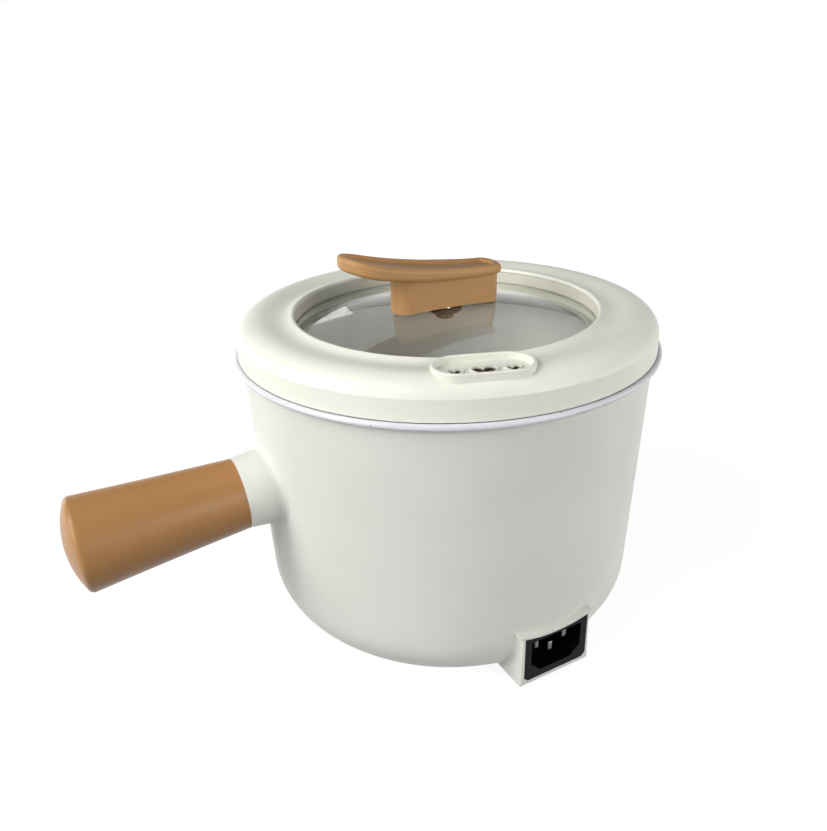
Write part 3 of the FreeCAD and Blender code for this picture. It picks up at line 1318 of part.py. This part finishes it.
PARTS = {
    "outer_shell": outer_shell,
    "inner_pot": inner_pot,
    "rim_seal": rim_seal,
    "heater_plate": heater_plate,
    "heater_element": heater_element,
    "thermostat": thermostat,
    "thermostat_screws": thermostat_screws,
    "thermal_fuse": thermal_fuse,
    "live_lead": live_lead,
    "fuse_lead": fuse_lead,
    "link_lead": link_lead,
    "neutral_lead": neutral_lead,
    "earth_lead": earth_lead,
    "earth_lug": earth_lug,
    "clamp_bracket": clamp_bracket,
    "bracket_nuts": bracket_nuts,
    "base_cover": base_cover,
    "cover_screws": cover_screws,
    "foot_ring": foot_ring,
    "inlet_body": inlet_body,
    "live_pin": lambda: pin("live"),
    "neutral_pin": lambda: pin("neutral"),
    "earth_pin": lambda: pin("earth"),
    "handle_collar": handle_collar,
    "handle_grip": handle_grip,
    "handle_insert": handle_insert,
    "handle_washer": handle_washer,
    "handle_bolt": handle_bolt,
    "lid_ring": lid_ring,
    "lid_liner": lid_liner,
    "lid_glass": lid_glass,
    "glass_seal": glass_seal,
    "lid_handle": lid_handle,
    "stem_pad": stem_pad,
    "washer_seal": washer_seal,
    "cup_washer": cup_washer,
    "lid_screw": lid_screw,
}

os.makedirs("parts", exist_ok=True)
for name, make in PARTS.items():
    make().exportStep("parts/" + name + ".step")
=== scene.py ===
import math

import bmesh
import bpy
from mathutils import Matrix, Vector


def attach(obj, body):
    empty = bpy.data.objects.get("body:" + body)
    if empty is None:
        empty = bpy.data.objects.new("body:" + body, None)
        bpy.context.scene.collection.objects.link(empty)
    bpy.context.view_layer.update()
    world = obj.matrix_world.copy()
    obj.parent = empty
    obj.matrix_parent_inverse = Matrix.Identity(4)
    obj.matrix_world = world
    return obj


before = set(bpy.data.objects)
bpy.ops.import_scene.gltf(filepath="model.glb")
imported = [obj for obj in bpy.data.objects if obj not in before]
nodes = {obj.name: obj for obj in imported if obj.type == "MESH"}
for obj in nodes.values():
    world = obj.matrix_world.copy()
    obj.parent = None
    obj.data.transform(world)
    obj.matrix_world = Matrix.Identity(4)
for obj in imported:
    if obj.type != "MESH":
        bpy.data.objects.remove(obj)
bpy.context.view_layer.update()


# ---- Outer shell ---------------------------------------------------------
# The outer cup is one satin off-white moulding, with the pod for the mains inlet grown
# out of its lower edge. Its surface has the very fine grain of the mould.

SHELL_WHITE = (222, 223, 215)
SHELL_ROUGHNESS = 0.42
MOULD_GRAIN = 2600
CLOUD_SCALE = 22
SMEAR_SCALE = 66
BUMP_DEPTH = 0.00005


def linear(colour):
    """A colour given as red, green and blue out of 255, as the shaders want it."""
    parts = [c / 255 for c in colour]
    parts = [c / 12.92 if c <= 0.04045 else ((c + 0.055) / 1.055) ** 2.4 for c in parts]
    return (*parts, 1)


def new_material(name):
    """An empty node material and its Principled shader."""
    material = bpy.data.materials.new(name)
    material.use_nodes = True
    return material, material.node_tree.nodes["Principled BSDF"]


def add_node(material, kind, inputs, **settings):
    """Adds a shader node; each input takes a plain value or another node's output."""
    node = material.node_tree.nodes.new("ShaderNode" + kind)
    for name, value in settings.items():
        setattr(node, name, value)
    for name, value in inputs.items():
        if isinstance(value, bpy.types.NodeSocket):
            material.node_tree.links.new(value, node.inputs[name])
        else:
            node.inputs[name].default_value = value
    return node


def calculate(material, operation, *values):
    """A math node's result."""
    return add_node(material, "Math", dict(enumerate(values)), operation=operation).outputs[0]


def slide(material, value, start, end, at_start=0.0, at_end=1.0):
    """A value that runs from one level to another as the input runs from start to end."""
    return add_node(material, "MapRange", {"Value": value, "From Min": start, "From Max": end,
                                           "To Min": at_start, "To Max": at_end}).outputs[0]


def place(material):
    """The material's Object coordinates."""
    return add_node(material, "TexCoord", {}).outputs["Object"]


def ramp(material, factor, stops):
    """A colour ramp whose stops are given as position and grey or colour."""
    node = add_node(material, "ValToRGB", {"Fac": factor})
    band = node.color_ramp.elements
    while len(band) < len(stops):
        band.new(0.5)
    for element, (position, colour) in zip(band, stops):
        element.position = position
        element.color = colour if isinstance(colour, tuple) else (colour, colour, colour, 1)
    return node.outputs["Color"]


def moulded(name, colour, roughness, grain=0.05, cloud=0.97, sheen_top=0.5):
    """Moulded plastic: slightly cloudy colour, uneven gloss and the fine grain of the mould."""
    material, shader = new_material(name)
    link = material.node_tree.links.new
    where = place(material)
    clouds = add_node(material, "TexNoise", {"Vector": where, "Scale": CLOUD_SCALE, "Detail": 4.0})
    dull = tuple(c * cloud for c in colour)
    tone = ramp(material, clouds.outputs["Fac"], [(0.3, linear(dull)), (0.7, linear(colour))])
    link(tone, shader.inputs["Base Color"])
    fine = add_node(material, "TexNoise", {"Vector": where, "Scale": MOULD_GRAIN, "Detail": 2.0})
    smear = add_node(material, "TexNoise", {"Vector": where, "Scale": SMEAR_SCALE, "Detail": 6.0})
    gloss = ramp(material, smear.outputs["Fac"], [(0.3, roughness * 0.92), (0.7, roughness * 1.08)])
    link(gloss, shader.inputs["Roughness"])
    bump = add_node(material, "Bump", {"Height": fine.outputs["Fac"], "Strength": grain,
                                       "Distance": BUMP_DEPTH})
    link(bump.outputs["Normal"], shader.inputs["Normal"])
    shader.inputs["Specular IOR Level"].default_value = sheen_top
    return material


def dress(node_name, material):
    """Gives a CAD node its material."""
    piece = nodes[node_name]
    piece.data.materials.clear()
    piece.data.materials.append(material)


shell_plastic = moulded("shell_plastic", SHELL_WHITE, SHELL_ROUGHNESS, sheen_top=0.36)
dress("outer_shell", shell_plastic)


# ---- Cooking pot ---------------------------------------------------------
# The cooking pot is spun from aluminium and enamelled a cool white. Its rolled rim lies
# on the shell with a soft ring between, and shows a few dark pinholes in the enamel.

ENAMEL_WHITE = (214, 214, 220)
COATING = (229, 229, 224)
COATING_R = 0.0795
PINHOLE = (90, 90, 95)
PINHOLE_PITCH = 240
PINHOLE_SHARE = 0.7
PINHOLE_EDGE = (0.05, 0.08)
ENAMEL_GLOSS = (0.27, 0.34)
STAINED = 0.95

enamel, enamel_shader = new_material("pot_enamel")
enamel_place = place(enamel)
across = add_node(enamel, "VectorMath", {0: enamel_place, 1: (1, 1, 0)}, operation="MULTIPLY")
out_from_axis = add_node(enamel, "VectorMath", {0: across.outputs[0]}, operation="LENGTH")
inside = calculate(enamel, "LESS_THAN", out_from_axis.outputs["Value"], COATING_R)
cells = add_node(enamel, "TexVoronoi", {"Vector": enamel_place, "Scale": PINHOLE_PITCH})
chance = add_node(enamel, "SeparateColor", {"Color": cells.outputs["Color"]})
rare = calculate(enamel, "LESS_THAN", chance.outputs["Red"], PINHOLE_SHARE)
dot = slide(enamel, cells.outputs["Distance"], *PINHOLE_EDGE, 1.0, 0.0)
dot = calculate(enamel, "MULTIPLY", dot, rare)
wash = add_node(enamel, "TexNoise", {"Vector": enamel_place, "Scale": CLOUD_SCALE, "Detail": 5.0})
coat_tone = ramp(enamel, wash.outputs["Fac"], [(0.35, linear(tuple(c * STAINED for c in COATING))),
                                               (0.65, linear(COATING))])
ground = add_node(enamel, "MixRGB", {"Fac": inside, "Color1": linear(ENAMEL_WHITE),
                                     "Color2": coat_tone})
spotted = add_node(enamel, "MixRGB", {"Fac": dot, "Color1": ground.outputs["Color"],
                                      "Color2": linear(PINHOLE)})
enamel.node_tree.links.new(spotted.outputs["Color"], enamel_shader.inputs["Base Color"])
enamel_gloss = ramp(enamel, wash.outputs["Fac"], [(0.3, ENAMEL_GLOSS[0]), (0.7, ENAMEL_GLOSS[1])])
enamel.node_tree.links.new(enamel_gloss, enamel_shader.inputs["Roughness"])
dress("inner_pot", enamel)

silicone = moulded("silicone", (205, 205, 200), 0.6)
dress("rim_seal", silicone)


# ---- Heating parts -------------------------------------------------------
# Under the pot: the aluminium heating plate with its tubular element, the thermostat
# and thermal fuse, their leads, and the zinc-plated bracket that clamps it all.

METAL_MARKS = 900


def metal(name, colour, roughness, brushed=(1, 1, 1)):
    """Bare or plated metal with fine uneven gloss; brushed stretches the marks along an axis."""
    material, shader = new_material(name)
    link = material.node_tree.links.new
    stretch = add_node(material, "Mapping", {"Vector": place(material), "Scale": brushed})
    marks = add_node(material, "TexNoise", {"Vector": stretch.outputs["Vector"],
                                            "Scale": METAL_MARKS, "Detail": 3.0})
    tone = ramp(material, marks.outputs["Fac"],
                [(0.3, linear(tuple(c * 0.9 for c in colour))), (0.7, linear(colour))])
    link(tone, shader.inputs["Base Color"])
    gloss = ramp(material, marks.outputs["Fac"], [(0.3, roughness * 0.8), (0.7, roughness * 1.2)])
    link(gloss, shader.inputs["Roughness"])
    shader.inputs["Metallic"].default_value = 1.0
    return material


aluminium = metal("aluminium", (196, 198, 200), 0.4, (1, 1, 0.1))
zinc = metal("zinc_plate", (176, 178, 176), 0.35)
steel = metal("steel", (186, 186, 188), 0.28, (1, 0.05, 1))
brass = metal("brass", (190, 160, 96), 0.3)
dress("heater_plate", aluminium)
dress("heater_element", steel)
for name in ("thermostat_screws", "clamp_bracket", "bracket_nuts", "earth_lug"):
    dress(name, zinc)
ceramic = moulded("ceramic", (226, 222, 208), 0.6)
dress("thermostat", ceramic)
sleeve = moulded("fuse_sleeve", (216, 214, 198), 0.7)
dress("thermal_fuse", sleeve)
for name, colour, slot in (
    ("live_lead", (104, 62, 34), "live_wire"),
    ("fuse_lead", (216, 214, 204), "heat_wire"),
    ("link_lead", (216, 214, 204), "heat_wire"),
    ("neutral_lead", (36, 76, 160), "neutral_wire"),
    ("earth_lead", (96, 150, 40), "earth_wire"),
):
    dress(name, moulded(name + "_sheath", colour, 0.5))


# ---- Base ----------------------------------------------------------------
# The slotted cover closes the shell from below. It has a soft ring foot in a groove, and
# three screws hold it to the bracket.

base_plastic = moulded("base_plastic", (214, 215, 207), 0.5)
dress("base_cover", base_plastic)
foot_rubber = moulded("foot_rubber", (118, 118, 115), 0.75, grain=0.2)
dress("foot_ring", foot_rubber)
dress("cover_screws", zinc)


# ---- Mains inlet ---------------------------------------------------------
# A black moulding snapped into the pod's face, with three flat plated pins in its recess.

INLET_BLACK = (11, 11, 15)
PIN_GREY = (118, 118, 120)

black_plastic = moulded("black_plastic", INLET_BLACK, 0.35, grain=0.03, cloud=0.9, sheen_top=0.08)
dress("inlet_body", black_plastic)
pin_metal = metal("pin_metal", PIN_GREY, 0.3)
for name in ("live_pin", "neutral_pin", "earth_pin"):
    dress(name, pin_metal)


# ---- Side handle ---------------------------------------------------------
# A white collar stands on the shell, with a soft blend round its foot, and the brown grip is
# pushed over its spigot. One bolt from inside the shell holds both. The grip is scratched,
# and its underside is painted a darker brown as painted shade.

HANDLE_START = Vector((-0.084, 0, 0.0753))
HANDLE_DROOP = math.radians(2.8)
SHELL_TOP_R = 0.0867
SHELL_TOP_Z = 0.1202
SHELL_TAPER = 0.032
FILLET_R = 0.0026
FILLET_INNER_R = 0.01605
FILLET_SUNK = 0.0004
FILLET_STEPS = 96
FILLET_CURVE_STEPS = 10
MERGE_WITHIN = 0.000001

handle_way = Vector((-math.cos(HANDLE_DROOP), 0, -math.sin(HANDLE_DROOP)))
handle_up = Vector((-math.sin(HANDLE_DROOP), 0, math.cos(HANDLE_DROOP)))
hidden_r = FILLET_INNER_R - FILLET_SUNK
fillet_profile = [(hidden_r, -FILLET_SUNK), (hidden_r, FILLET_R)]
for step in range(FILLET_CURVE_STEPS + 1):
    bend = math.radians(90) * step / FILLET_CURVE_STEPS
    fillet_profile.append((FILLET_INNER_R + FILLET_R * (1 - math.cos(bend)),
                           FILLET_R * (1 - math.sin(bend))))
fillet_profile.append((FILLET_INNER_R + FILLET_R, -FILLET_SUNK))
fillet = bmesh.new()
fillet_rings = []
for index in range(FILLET_STEPS):
    turn = math.tau * index / FILLET_STEPS
    outward = Vector((0, 1, 0)) * math.cos(turn) + handle_up * math.sin(turn)
    ring = []
    for radius, height in fillet_profile:
        spot = HANDLE_START + outward * radius
        wall = SHELL_TOP_R - SHELL_TAPER * (SHELL_TOP_Z - spot.z) + height
        reach = (math.sqrt(wall ** 2 - spot.y ** 2) + spot.x) / -handle_way.x
        ring.append(fillet.verts.new(spot + handle_way * reach))
    fillet_rings.append(ring)
for index, ring in enumerate(fillet_rings):
    following = fillet_rings[(index + 1) % FILLET_STEPS]
    for corner in range(len(ring)):
        after = (corner + 1) % len(ring)
        fillet.faces.new((ring[corner], ring[after], following[after], following[corner]))


def add_piece(name, shape, material, body):
    """Makes a piece of a bmesh: smooth, in its material, riding on its body."""
    bmesh.ops.remove_doubles(shape, verts=shape.verts, dist=MERGE_WITHIN)
    bmesh.ops.recalc_face_normals(shape, faces=shape.faces)
    mesh = bpy.data.meshes.new(name)
    shape.to_mesh(mesh)
    shape.free()
    mesh.materials.append(material)
    mesh.polygons.foreach_set("use_smooth", [True] * len(mesh.polygons))
    piece = bpy.data.objects.new(name, mesh)
    bpy.context.scene.collection.objects.link(piece)
    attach(piece, body)


def paint_over(material, share, colour):
    """Lays a colour over a material's own colour, as far as the share says."""
    shader = material.node_tree.nodes["Principled BSDF"]
    under = shader.inputs["Base Color"].links[0].from_socket
    mix = add_node(material, "MixRGB", {"Fac": share, "Color1": under, "Color2": linear(colour)})
    material.node_tree.links.new(mix.outputs["Color"], shader.inputs["Base Color"])


def upwardness(material):
    """How far a surface faces up: 1 for a flat top, -1 for an underside."""
    shape = add_node(material, "NewGeometry", {})
    return add_node(material, "SeparateXYZ", {"Vector": shape.outputs["Normal"]}).outputs["Z"]


dress("handle_collar", shell_plastic)
add_piece("collar_fillet", fillet, shell_plastic, "base")

GRIP_BROWN = (172, 126, 78)
UNDERSIDE_SHADE_BROWN = (122, 84, 52)
SCRATCH_BROWN = (205, 170, 130)
SCRATCH_PITCH = 70
SCRATCH_STRETCH = (1.0, 9.0, 3.0)
SCRATCH_TURN = (0.5, 0.3, 0.9)
SCRATCH_EDGE = (0.035, 0.06)
SCRATCH_SHARE = 0.35
SHADE_FROM = 0.1
SHADE_FULL = -0.85
SHADE_MOST = 0.9

grip_plastic = moulded("grip_plastic", GRIP_BROWN, 0.34, sheen_top=0.24)
scratch_way = add_node(grip_plastic, "Mapping", {"Vector": place(grip_plastic),
                                                 "Scale": SCRATCH_STRETCH,
                                                 "Rotation": SCRATCH_TURN})
scratch_cells = add_node(grip_plastic, "TexVoronoi", {"Vector": scratch_way.outputs["Vector"],
                                                      "Scale": SCRATCH_PITCH})
scratch_pick = add_node(grip_plastic, "SeparateColor", {"Color": scratch_cells.outputs["Color"]})
few = calculate(grip_plastic, "LESS_THAN", scratch_pick.outputs["Red"], SCRATCH_SHARE)
scratch = slide(grip_plastic, scratch_cells.outputs["Distance"], *SCRATCH_EDGE, 1.0, 0.0)
paint_over(grip_plastic, calculate(grip_plastic, "MULTIPLY", scratch, few), SCRATCH_BROWN)
# Painted shade: the more a face of the grip looks down, the darker brown it is painted.
underside = slide(grip_plastic, upwardness(grip_plastic), SHADE_FULL, SHADE_FROM, SHADE_MOST, 0.0)
paint_over(grip_plastic, underside, UNDERSIDE_SHADE_BROWN)
dress("handle_grip", grip_plastic)
dress("handle_insert", brass)
dress("handle_washer", zinc)
dress("handle_bolt", zinc)


# ---- Lid ring ------------------------------------------------------------
# The lid's ring is a hollow cream moulding with the vent collar in its front, and a rounded
# lip round its hole. The liner under it is staked to it and centres the lid in the pot.

LID_CREAM = (233, 233, 221)
VENT_ANGLE = -106.5
LID_TURN = -4.2
VENT_TURN = math.radians(VENT_ANGLE + LID_TURN)
VENT_OUT = (math.cos(VENT_TURN), math.sin(VENT_TURN), 0)
VENT_ALONG = (-math.sin(VENT_TURN), math.cos(VENT_TURN), 0)
VENT_R = 0.075
VENT_FLOOR_Z = 0.1372
VENT_HALF_WIDTH = 0.0072
VENT_HALF_LENGTH = 0.0155
VENT_SHADE = (92, 84, 58)
VENT_SHADE_DROP = (0.0005, 0.00005)
HOLE_WALL_R = 0.0651
HOLE_WALL_TOP_Z = 0.1362
WALL_BLEND = 0.0006
WALL_PAINTED_SHADE = (206, 205, 189)
LINER_SHADE_OLIVE = (84, 80, 66)
LIP_R = 0.0648
LIP_Z = 0.1369
LIP_THICK = 0.0011
LIP_STEPS = 160
LIP_SIDES = 16

lid_plastic = moulded("lid_plastic", LID_CREAM, 0.4, sheen_top=0.36)
lid_spot = place(lid_plastic)
# Painted shade: inside the vent collar, the walls of the heart holes below the floor are painted
# dark olive-brown.
vent_reach = add_node(lid_plastic, "VectorMath", {0: lid_spot, 1: VENT_OUT},
                      operation="DOT_PRODUCT")
vent_side = add_node(lid_plastic, "VectorMath", {0: lid_spot, 1: VENT_ALONG},
                     operation="DOT_PRODUCT")
across_vent = calculate(lid_plastic, "COMPARE", vent_reach.outputs["Value"], VENT_R,
                        VENT_HALF_WIDTH)
along_vent = calculate(lid_plastic, "COMPARE", vent_side.outputs["Value"], 0.0, VENT_HALF_LENGTH)
in_vent = calculate(lid_plastic, "MULTIPLY", across_vent, along_vent)
lid_level = add_node(lid_plastic, "SeparateXYZ", {"Vector": lid_spot}).outputs["Z"]
sunk = slide(lid_plastic, lid_level, VENT_FLOOR_Z - VENT_SHADE_DROP[0],
             VENT_FLOOR_Z - VENT_SHADE_DROP[1], 1.0, 0.0)
# Painted shade: the wall of the hole, below the lip, is painted a darker cream.
lid_flat = add_node(lid_plastic, "VectorMath", {0: lid_spot, 1: (1, 1, 0)}, operation="MULTIPLY")
from_axis = add_node(lid_plastic, "VectorMath", {0: lid_flat.outputs[0]}, operation="LENGTH")
at_wall = calculate(lid_plastic, "LESS_THAN", from_axis.outputs["Value"], HOLE_WALL_R)
under_lip = slide(lid_plastic, lid_level, HOLE_WALL_TOP_Z - WALL_BLEND, HOLE_WALL_TOP_Z, 1.0, 0.0)
paint_over(lid_plastic, calculate(lid_plastic, "MULTIPLY", at_wall, under_lip), WALL_PAINTED_SHADE)
paint_over(lid_plastic, calculate(lid_plastic, "MULTIPLY", in_vent, sunk), VENT_SHADE)
dress("lid_ring", lid_plastic)

lip = bmesh.new()
lip_profile = bmesh.ops.create_circle(lip, segments=LIP_SIDES, radius=LIP_THICK)["verts"]
bmesh.ops.rotate(lip, verts=lip_profile, cent=(0, 0, 0),
                 matrix=Matrix.Rotation(math.radians(90), 3, "X"))
bmesh.ops.translate(lip, verts=lip_profile, vec=(LIP_R, 0, LIP_Z))
bmesh.ops.spin(lip, geom=lip.verts[:] + lip.edges[:], cent=(0, 0, 0), axis=(0, 0, 1),
               angle=math.tau, steps=LIP_STEPS, use_merge=True)
add_piece("lid_lip", lip, lid_plastic, "lid")

# The liner's dark olive colour is painted shade, for the shadow under the ring and below the vent.
liner_plastic = moulded("liner_plastic", LINER_SHADE_OLIVE, 0.5)
dress("lid_liner", liner_plastic)


# ---- Lid glass -----------------------------------------------------------
# A shallow dome of tempered glass in a silicone ring, very slightly smudged. Lamps shine
# through it, so that it throws no shadow into the pot.

GLASS_TINT = (243, 244, 241)
GLASS_IOR = 1.5
SMUDGE_ROUGHNESS = 0.03

glass, glass_shader = new_material("lid_glass")
glass_shader.inputs["Base Color"].default_value = linear(GLASS_TINT)
smudges = add_node(glass, "TexNoise", {"Vector": place(glass), "Scale": CLOUD_SCALE, "Detail": 6.0})
glass_gloss = ramp(glass, smudges.outputs["Fac"], [(0.45, 0.0), (0.75, SMUDGE_ROUGHNESS)])
glass.node_tree.links.new(glass_gloss, glass_shader.inputs["Roughness"])
glass_shader.inputs["IOR"].default_value = GLASS_IOR
glass_shader.inputs["Transmission Weight"].default_value = 1.0
glass_rays = add_node(glass, "LightPath", {})
glass_clear = add_node(glass, "BsdfTransparent", {"Color": linear(GLASS_TINT)})
glass_mix = add_node(glass, "MixShader", {"Fac": glass_rays.outputs["Is Shadow Ray"]})
glass.node_tree.links.new(glass_shader.outputs[0], glass_mix.inputs[1])
glass.node_tree.links.new(glass_clear.outputs[0], glass_mix.inputs[2])
glass_out = glass.node_tree.nodes["Material Output"]
glass.node_tree.links.new(glass_mix.outputs[0], glass_out.inputs["Surface"])
dress("lid_glass", glass)
dress("glass_seal", silicone)


# ---- Lid handle ----------------------------------------------------------
# One brown moulding, a shade lighter than the grip: a flat stem under an upswept plate.
# A screw through the glass holds it, with a cup washer and soft washers.

HANDLE_BROWN = (181, 137, 88)
WELL_SHADE_BROWN = (150, 118, 86)
WELL_FLOOR = (0.955, 0.99)
PAD_BROWN = (70, 58, 48)
SEAL_BLACK = (46, 43, 40)
STEEL_REFLECTION_DARK = (92, 86, 78)

handle_plastic = moulded("handle_plastic", HANDLE_BROWN, 0.38, sheen_top=0.3)
# Faces that look straight up, such as the well in the plate, are painted a greyer, darker brown:
# painted shade and painted reflection.
well_shade = slide(handle_plastic, upwardness(handle_plastic), *WELL_FLOOR)
paint_over(handle_plastic, well_shade, WELL_SHADE_BROWN)
dress("lid_handle", handle_plastic)
pad_rubber = moulded("pad_rubber", PAD_BROWN, 0.6)
dress("stem_pad", pad_rubber)
seal_rubber = moulded("seal_rubber", SEAL_BLACK, 0.55)
dress("washer_seal", seal_rubber)
# The cup washer and screw are given a dark steel colour: a painted dark reflection on polished
# steel.
steel_dark_reflection = metal("steel_dark_reflection", STEEL_REFLECTION_DARK, 0.2)
dress("cup_washer", steel_dark_reflection)
dress("lid_screw", steel_dark_reflection)


# ---- Studio --------------------------------------------------------------
# The camera, a ring of soft lamps that is strongest at the left, a pale floor and a sky that
# is white where it is looked at and dim where it lights.

CAMERA_PLACE = (-0.1558, -0.2642, 0.2298)
CAMERA_TURN = math.radians(27.76)
CAMERA_DIP = math.radians(25.187)
CAMERA_ROLL = math.radians(-1.769)
FRAME_HEIGHT = 831
FOCAL_PIXELS = 742.831
FILM = 36.0
CLIP_START = 0.01
LAMP_REACH = 1.2
LAMP_SIZE = 0.5
LAMP_AIM = Vector((0, 0, 0.08))

camera = bpy.data.objects.new("camera", bpy.data.cameras.new("camera"))
bpy.context.scene.collection.objects.link(camera)
camera.data.sensor_width = FILM
camera.data.lens = FILM * FOCAL_PIXELS / FRAME_HEIGHT
camera.data.clip_start = CLIP_START
ahead = Vector((math.sin(CAMERA_TURN) * math.cos(CAMERA_DIP),
                math.cos(CAMERA_TURN) * math.cos(CAMERA_DIP), -math.sin(CAMERA_DIP)))
camera_look = ahead.to_track_quat("-Z", "Y").to_matrix().to_4x4()
camera.matrix_world = (Matrix.Translation(CAMERA_PLACE) @ camera_look
                       @ Matrix.Rotation(CAMERA_ROLL, 4, "Z"))
bpy.context.scene.camera = camera


def soft_lamp(name, around, up, power):
    """A square area lamp, placed by two angles in degrees, that faces the pot."""
    turn = math.radians(around)
    rise = math.radians(up)
    away = Vector((math.cos(turn) * math.cos(rise), math.sin(turn) * math.cos(rise),
                   math.sin(rise)))
    spot = LAMP_AIM + away * LAMP_REACH
    lamp = bpy.data.objects.new(name, bpy.data.lights.new(name, "AREA"))
    bpy.context.scene.collection.objects.link(lamp)
    lamp.data.size = LAMP_SIZE
    lamp.data.energy = power
    way = LAMP_AIM - spot
    lamp.matrix_world = Matrix.Translation(spot) @ way.to_track_quat("-Z", "Y").to_matrix().to_4x4()
    return lamp


for name, around, up, power in (
    ("key_lamp_far", 170, 28, 4.3),
    ("key_lamp_near", 190, 28, 5.6),
    ("left_top_lamp", 172, 52, 4.5),
    ("left_low_lamp", 184, 7, 2.2),
    ("front_lamp", 288, 22, 4.6),
    ("front_low_lamp", 290, 6, 2.1),
    ("right_lamp", 320, 6, 1.2),
    ("right_low_lamp", 335, 6, 2.1),
    ("back_left_lamp", 122, 4, 1.6),
):
    soft_lamp(name, around, up, power)

# Straight behind the lid, this lamp would mirror in the glass.
back_lamp = soft_lamp("back_right_lamp", 85, 6, 1.6)
back_lamp.visible_glossy = False

FLOOR_HALF = 6
FLOOR_GREY = 0.19
NEAR_WHITE = 0.9
NEAR_R = 0.2
FAR_R = 1.2

floor_mesh = bmesh.new()
bmesh.ops.create_grid(floor_mesh, x_segments=1, y_segments=1, size=FLOOR_HALF)
floor_data = bpy.data.meshes.new("floor")
floor_mesh.to_mesh(floor_data)
floor_mesh.free()
floor = bpy.data.objects.new("floor", floor_data)
bpy.context.scene.collection.objects.link(floor)

floor_paint = bpy.data.materials.new("floor_paint")
floor_paint.use_nodes = True
floor_paint.node_tree.nodes.clear()
rays = add_node(floor_paint, "LightPath", {})
seen = calculate(floor_paint, "MAXIMUM", rays.outputs["Is Camera Ray"],
                 rays.outputs["Is Glossy Ray"])
seen = calculate(floor_paint, "MAXIMUM", seen, rays.outputs["Is Transmission Ray"])
floor_place = add_node(floor_paint, "VectorMath", {0: place(floor_paint)}, operation="LENGTH")
floor_white = slide(floor_paint, floor_place.outputs["Value"], NEAR_R, FAR_R, NEAR_WHITE, 1.0)
glow = add_node(floor_paint, "Emission", {"Color": (1, 1, 1, 1), "Strength": floor_white})
coat = add_node(floor_paint, "BsdfDiffuse", {"Color": (FLOOR_GREY,) * 3 + (1,)})
both = add_node(floor_paint, "MixShader", {"Fac": seen})
floor_paint.node_tree.links.new(coat.outputs[0], both.inputs[1])
bright = add_node(floor_paint, "AddShader", {})
floor_paint.node_tree.links.new(coat.outputs[0], bright.inputs[0])
floor_paint.node_tree.links.new(glow.outputs[0], bright.inputs[1])
floor_paint.node_tree.links.new(bright.outputs[0], both.inputs[2])
add_node(floor_paint, "OutputMaterial", {"Surface": both.outputs[0]})
floor_data.materials.append(floor_paint)

SKY_LIGHT = 0.14
SKY_SEEN = 0.17
HORIZON = (0.10, 0.24)
OVERHEAD = (0.14, 0.22)

world = bpy.data.worlds.new("studio")
bpy.context.scene.world = world
world.use_nodes = True
sky = world.node_tree.nodes["Background"]
sky_way = add_node(world, "TexCoord", {})
sky_height = add_node(world, "SeparateXYZ", {"Vector": sky_way.outputs["Generated"]}).outputs["Z"]
horizon = slide(world, sky_height, *HORIZON, 1.0, SKY_SEEN)
overhead = slide(world, sky_height, *OVERHEAD, 0.0, SKY_LIGHT)
sky_rays = add_node(world, "LightPath", {})
mirrored = add_node(world, "Mix", {0: sky_rays.outputs["Is Glossy Ray"], 2: overhead, 3: horizon})
no_bounce = calculate(world, "LESS_THAN", sky_rays.outputs["Diffuse Depth"], 0.5)
through = calculate(world, "MULTIPLY", sky_rays.outputs["Is Transmission Ray"], no_bounce)
straight = calculate(world, "MAXIMUM", sky_rays.outputs["Is Camera Ray"], through)
strength = add_node(world, "Mix", {0: straight, 2: mirrored.outputs[0], 3: 1.0})
world.node_tree.links.new(strength.outputs[0], sky.inputs["Strength"])
sky.inputs["Color"].default_value = (1, 1, 1, 1)

bpy.context.scene.view_settings.view_transform = "Standard"
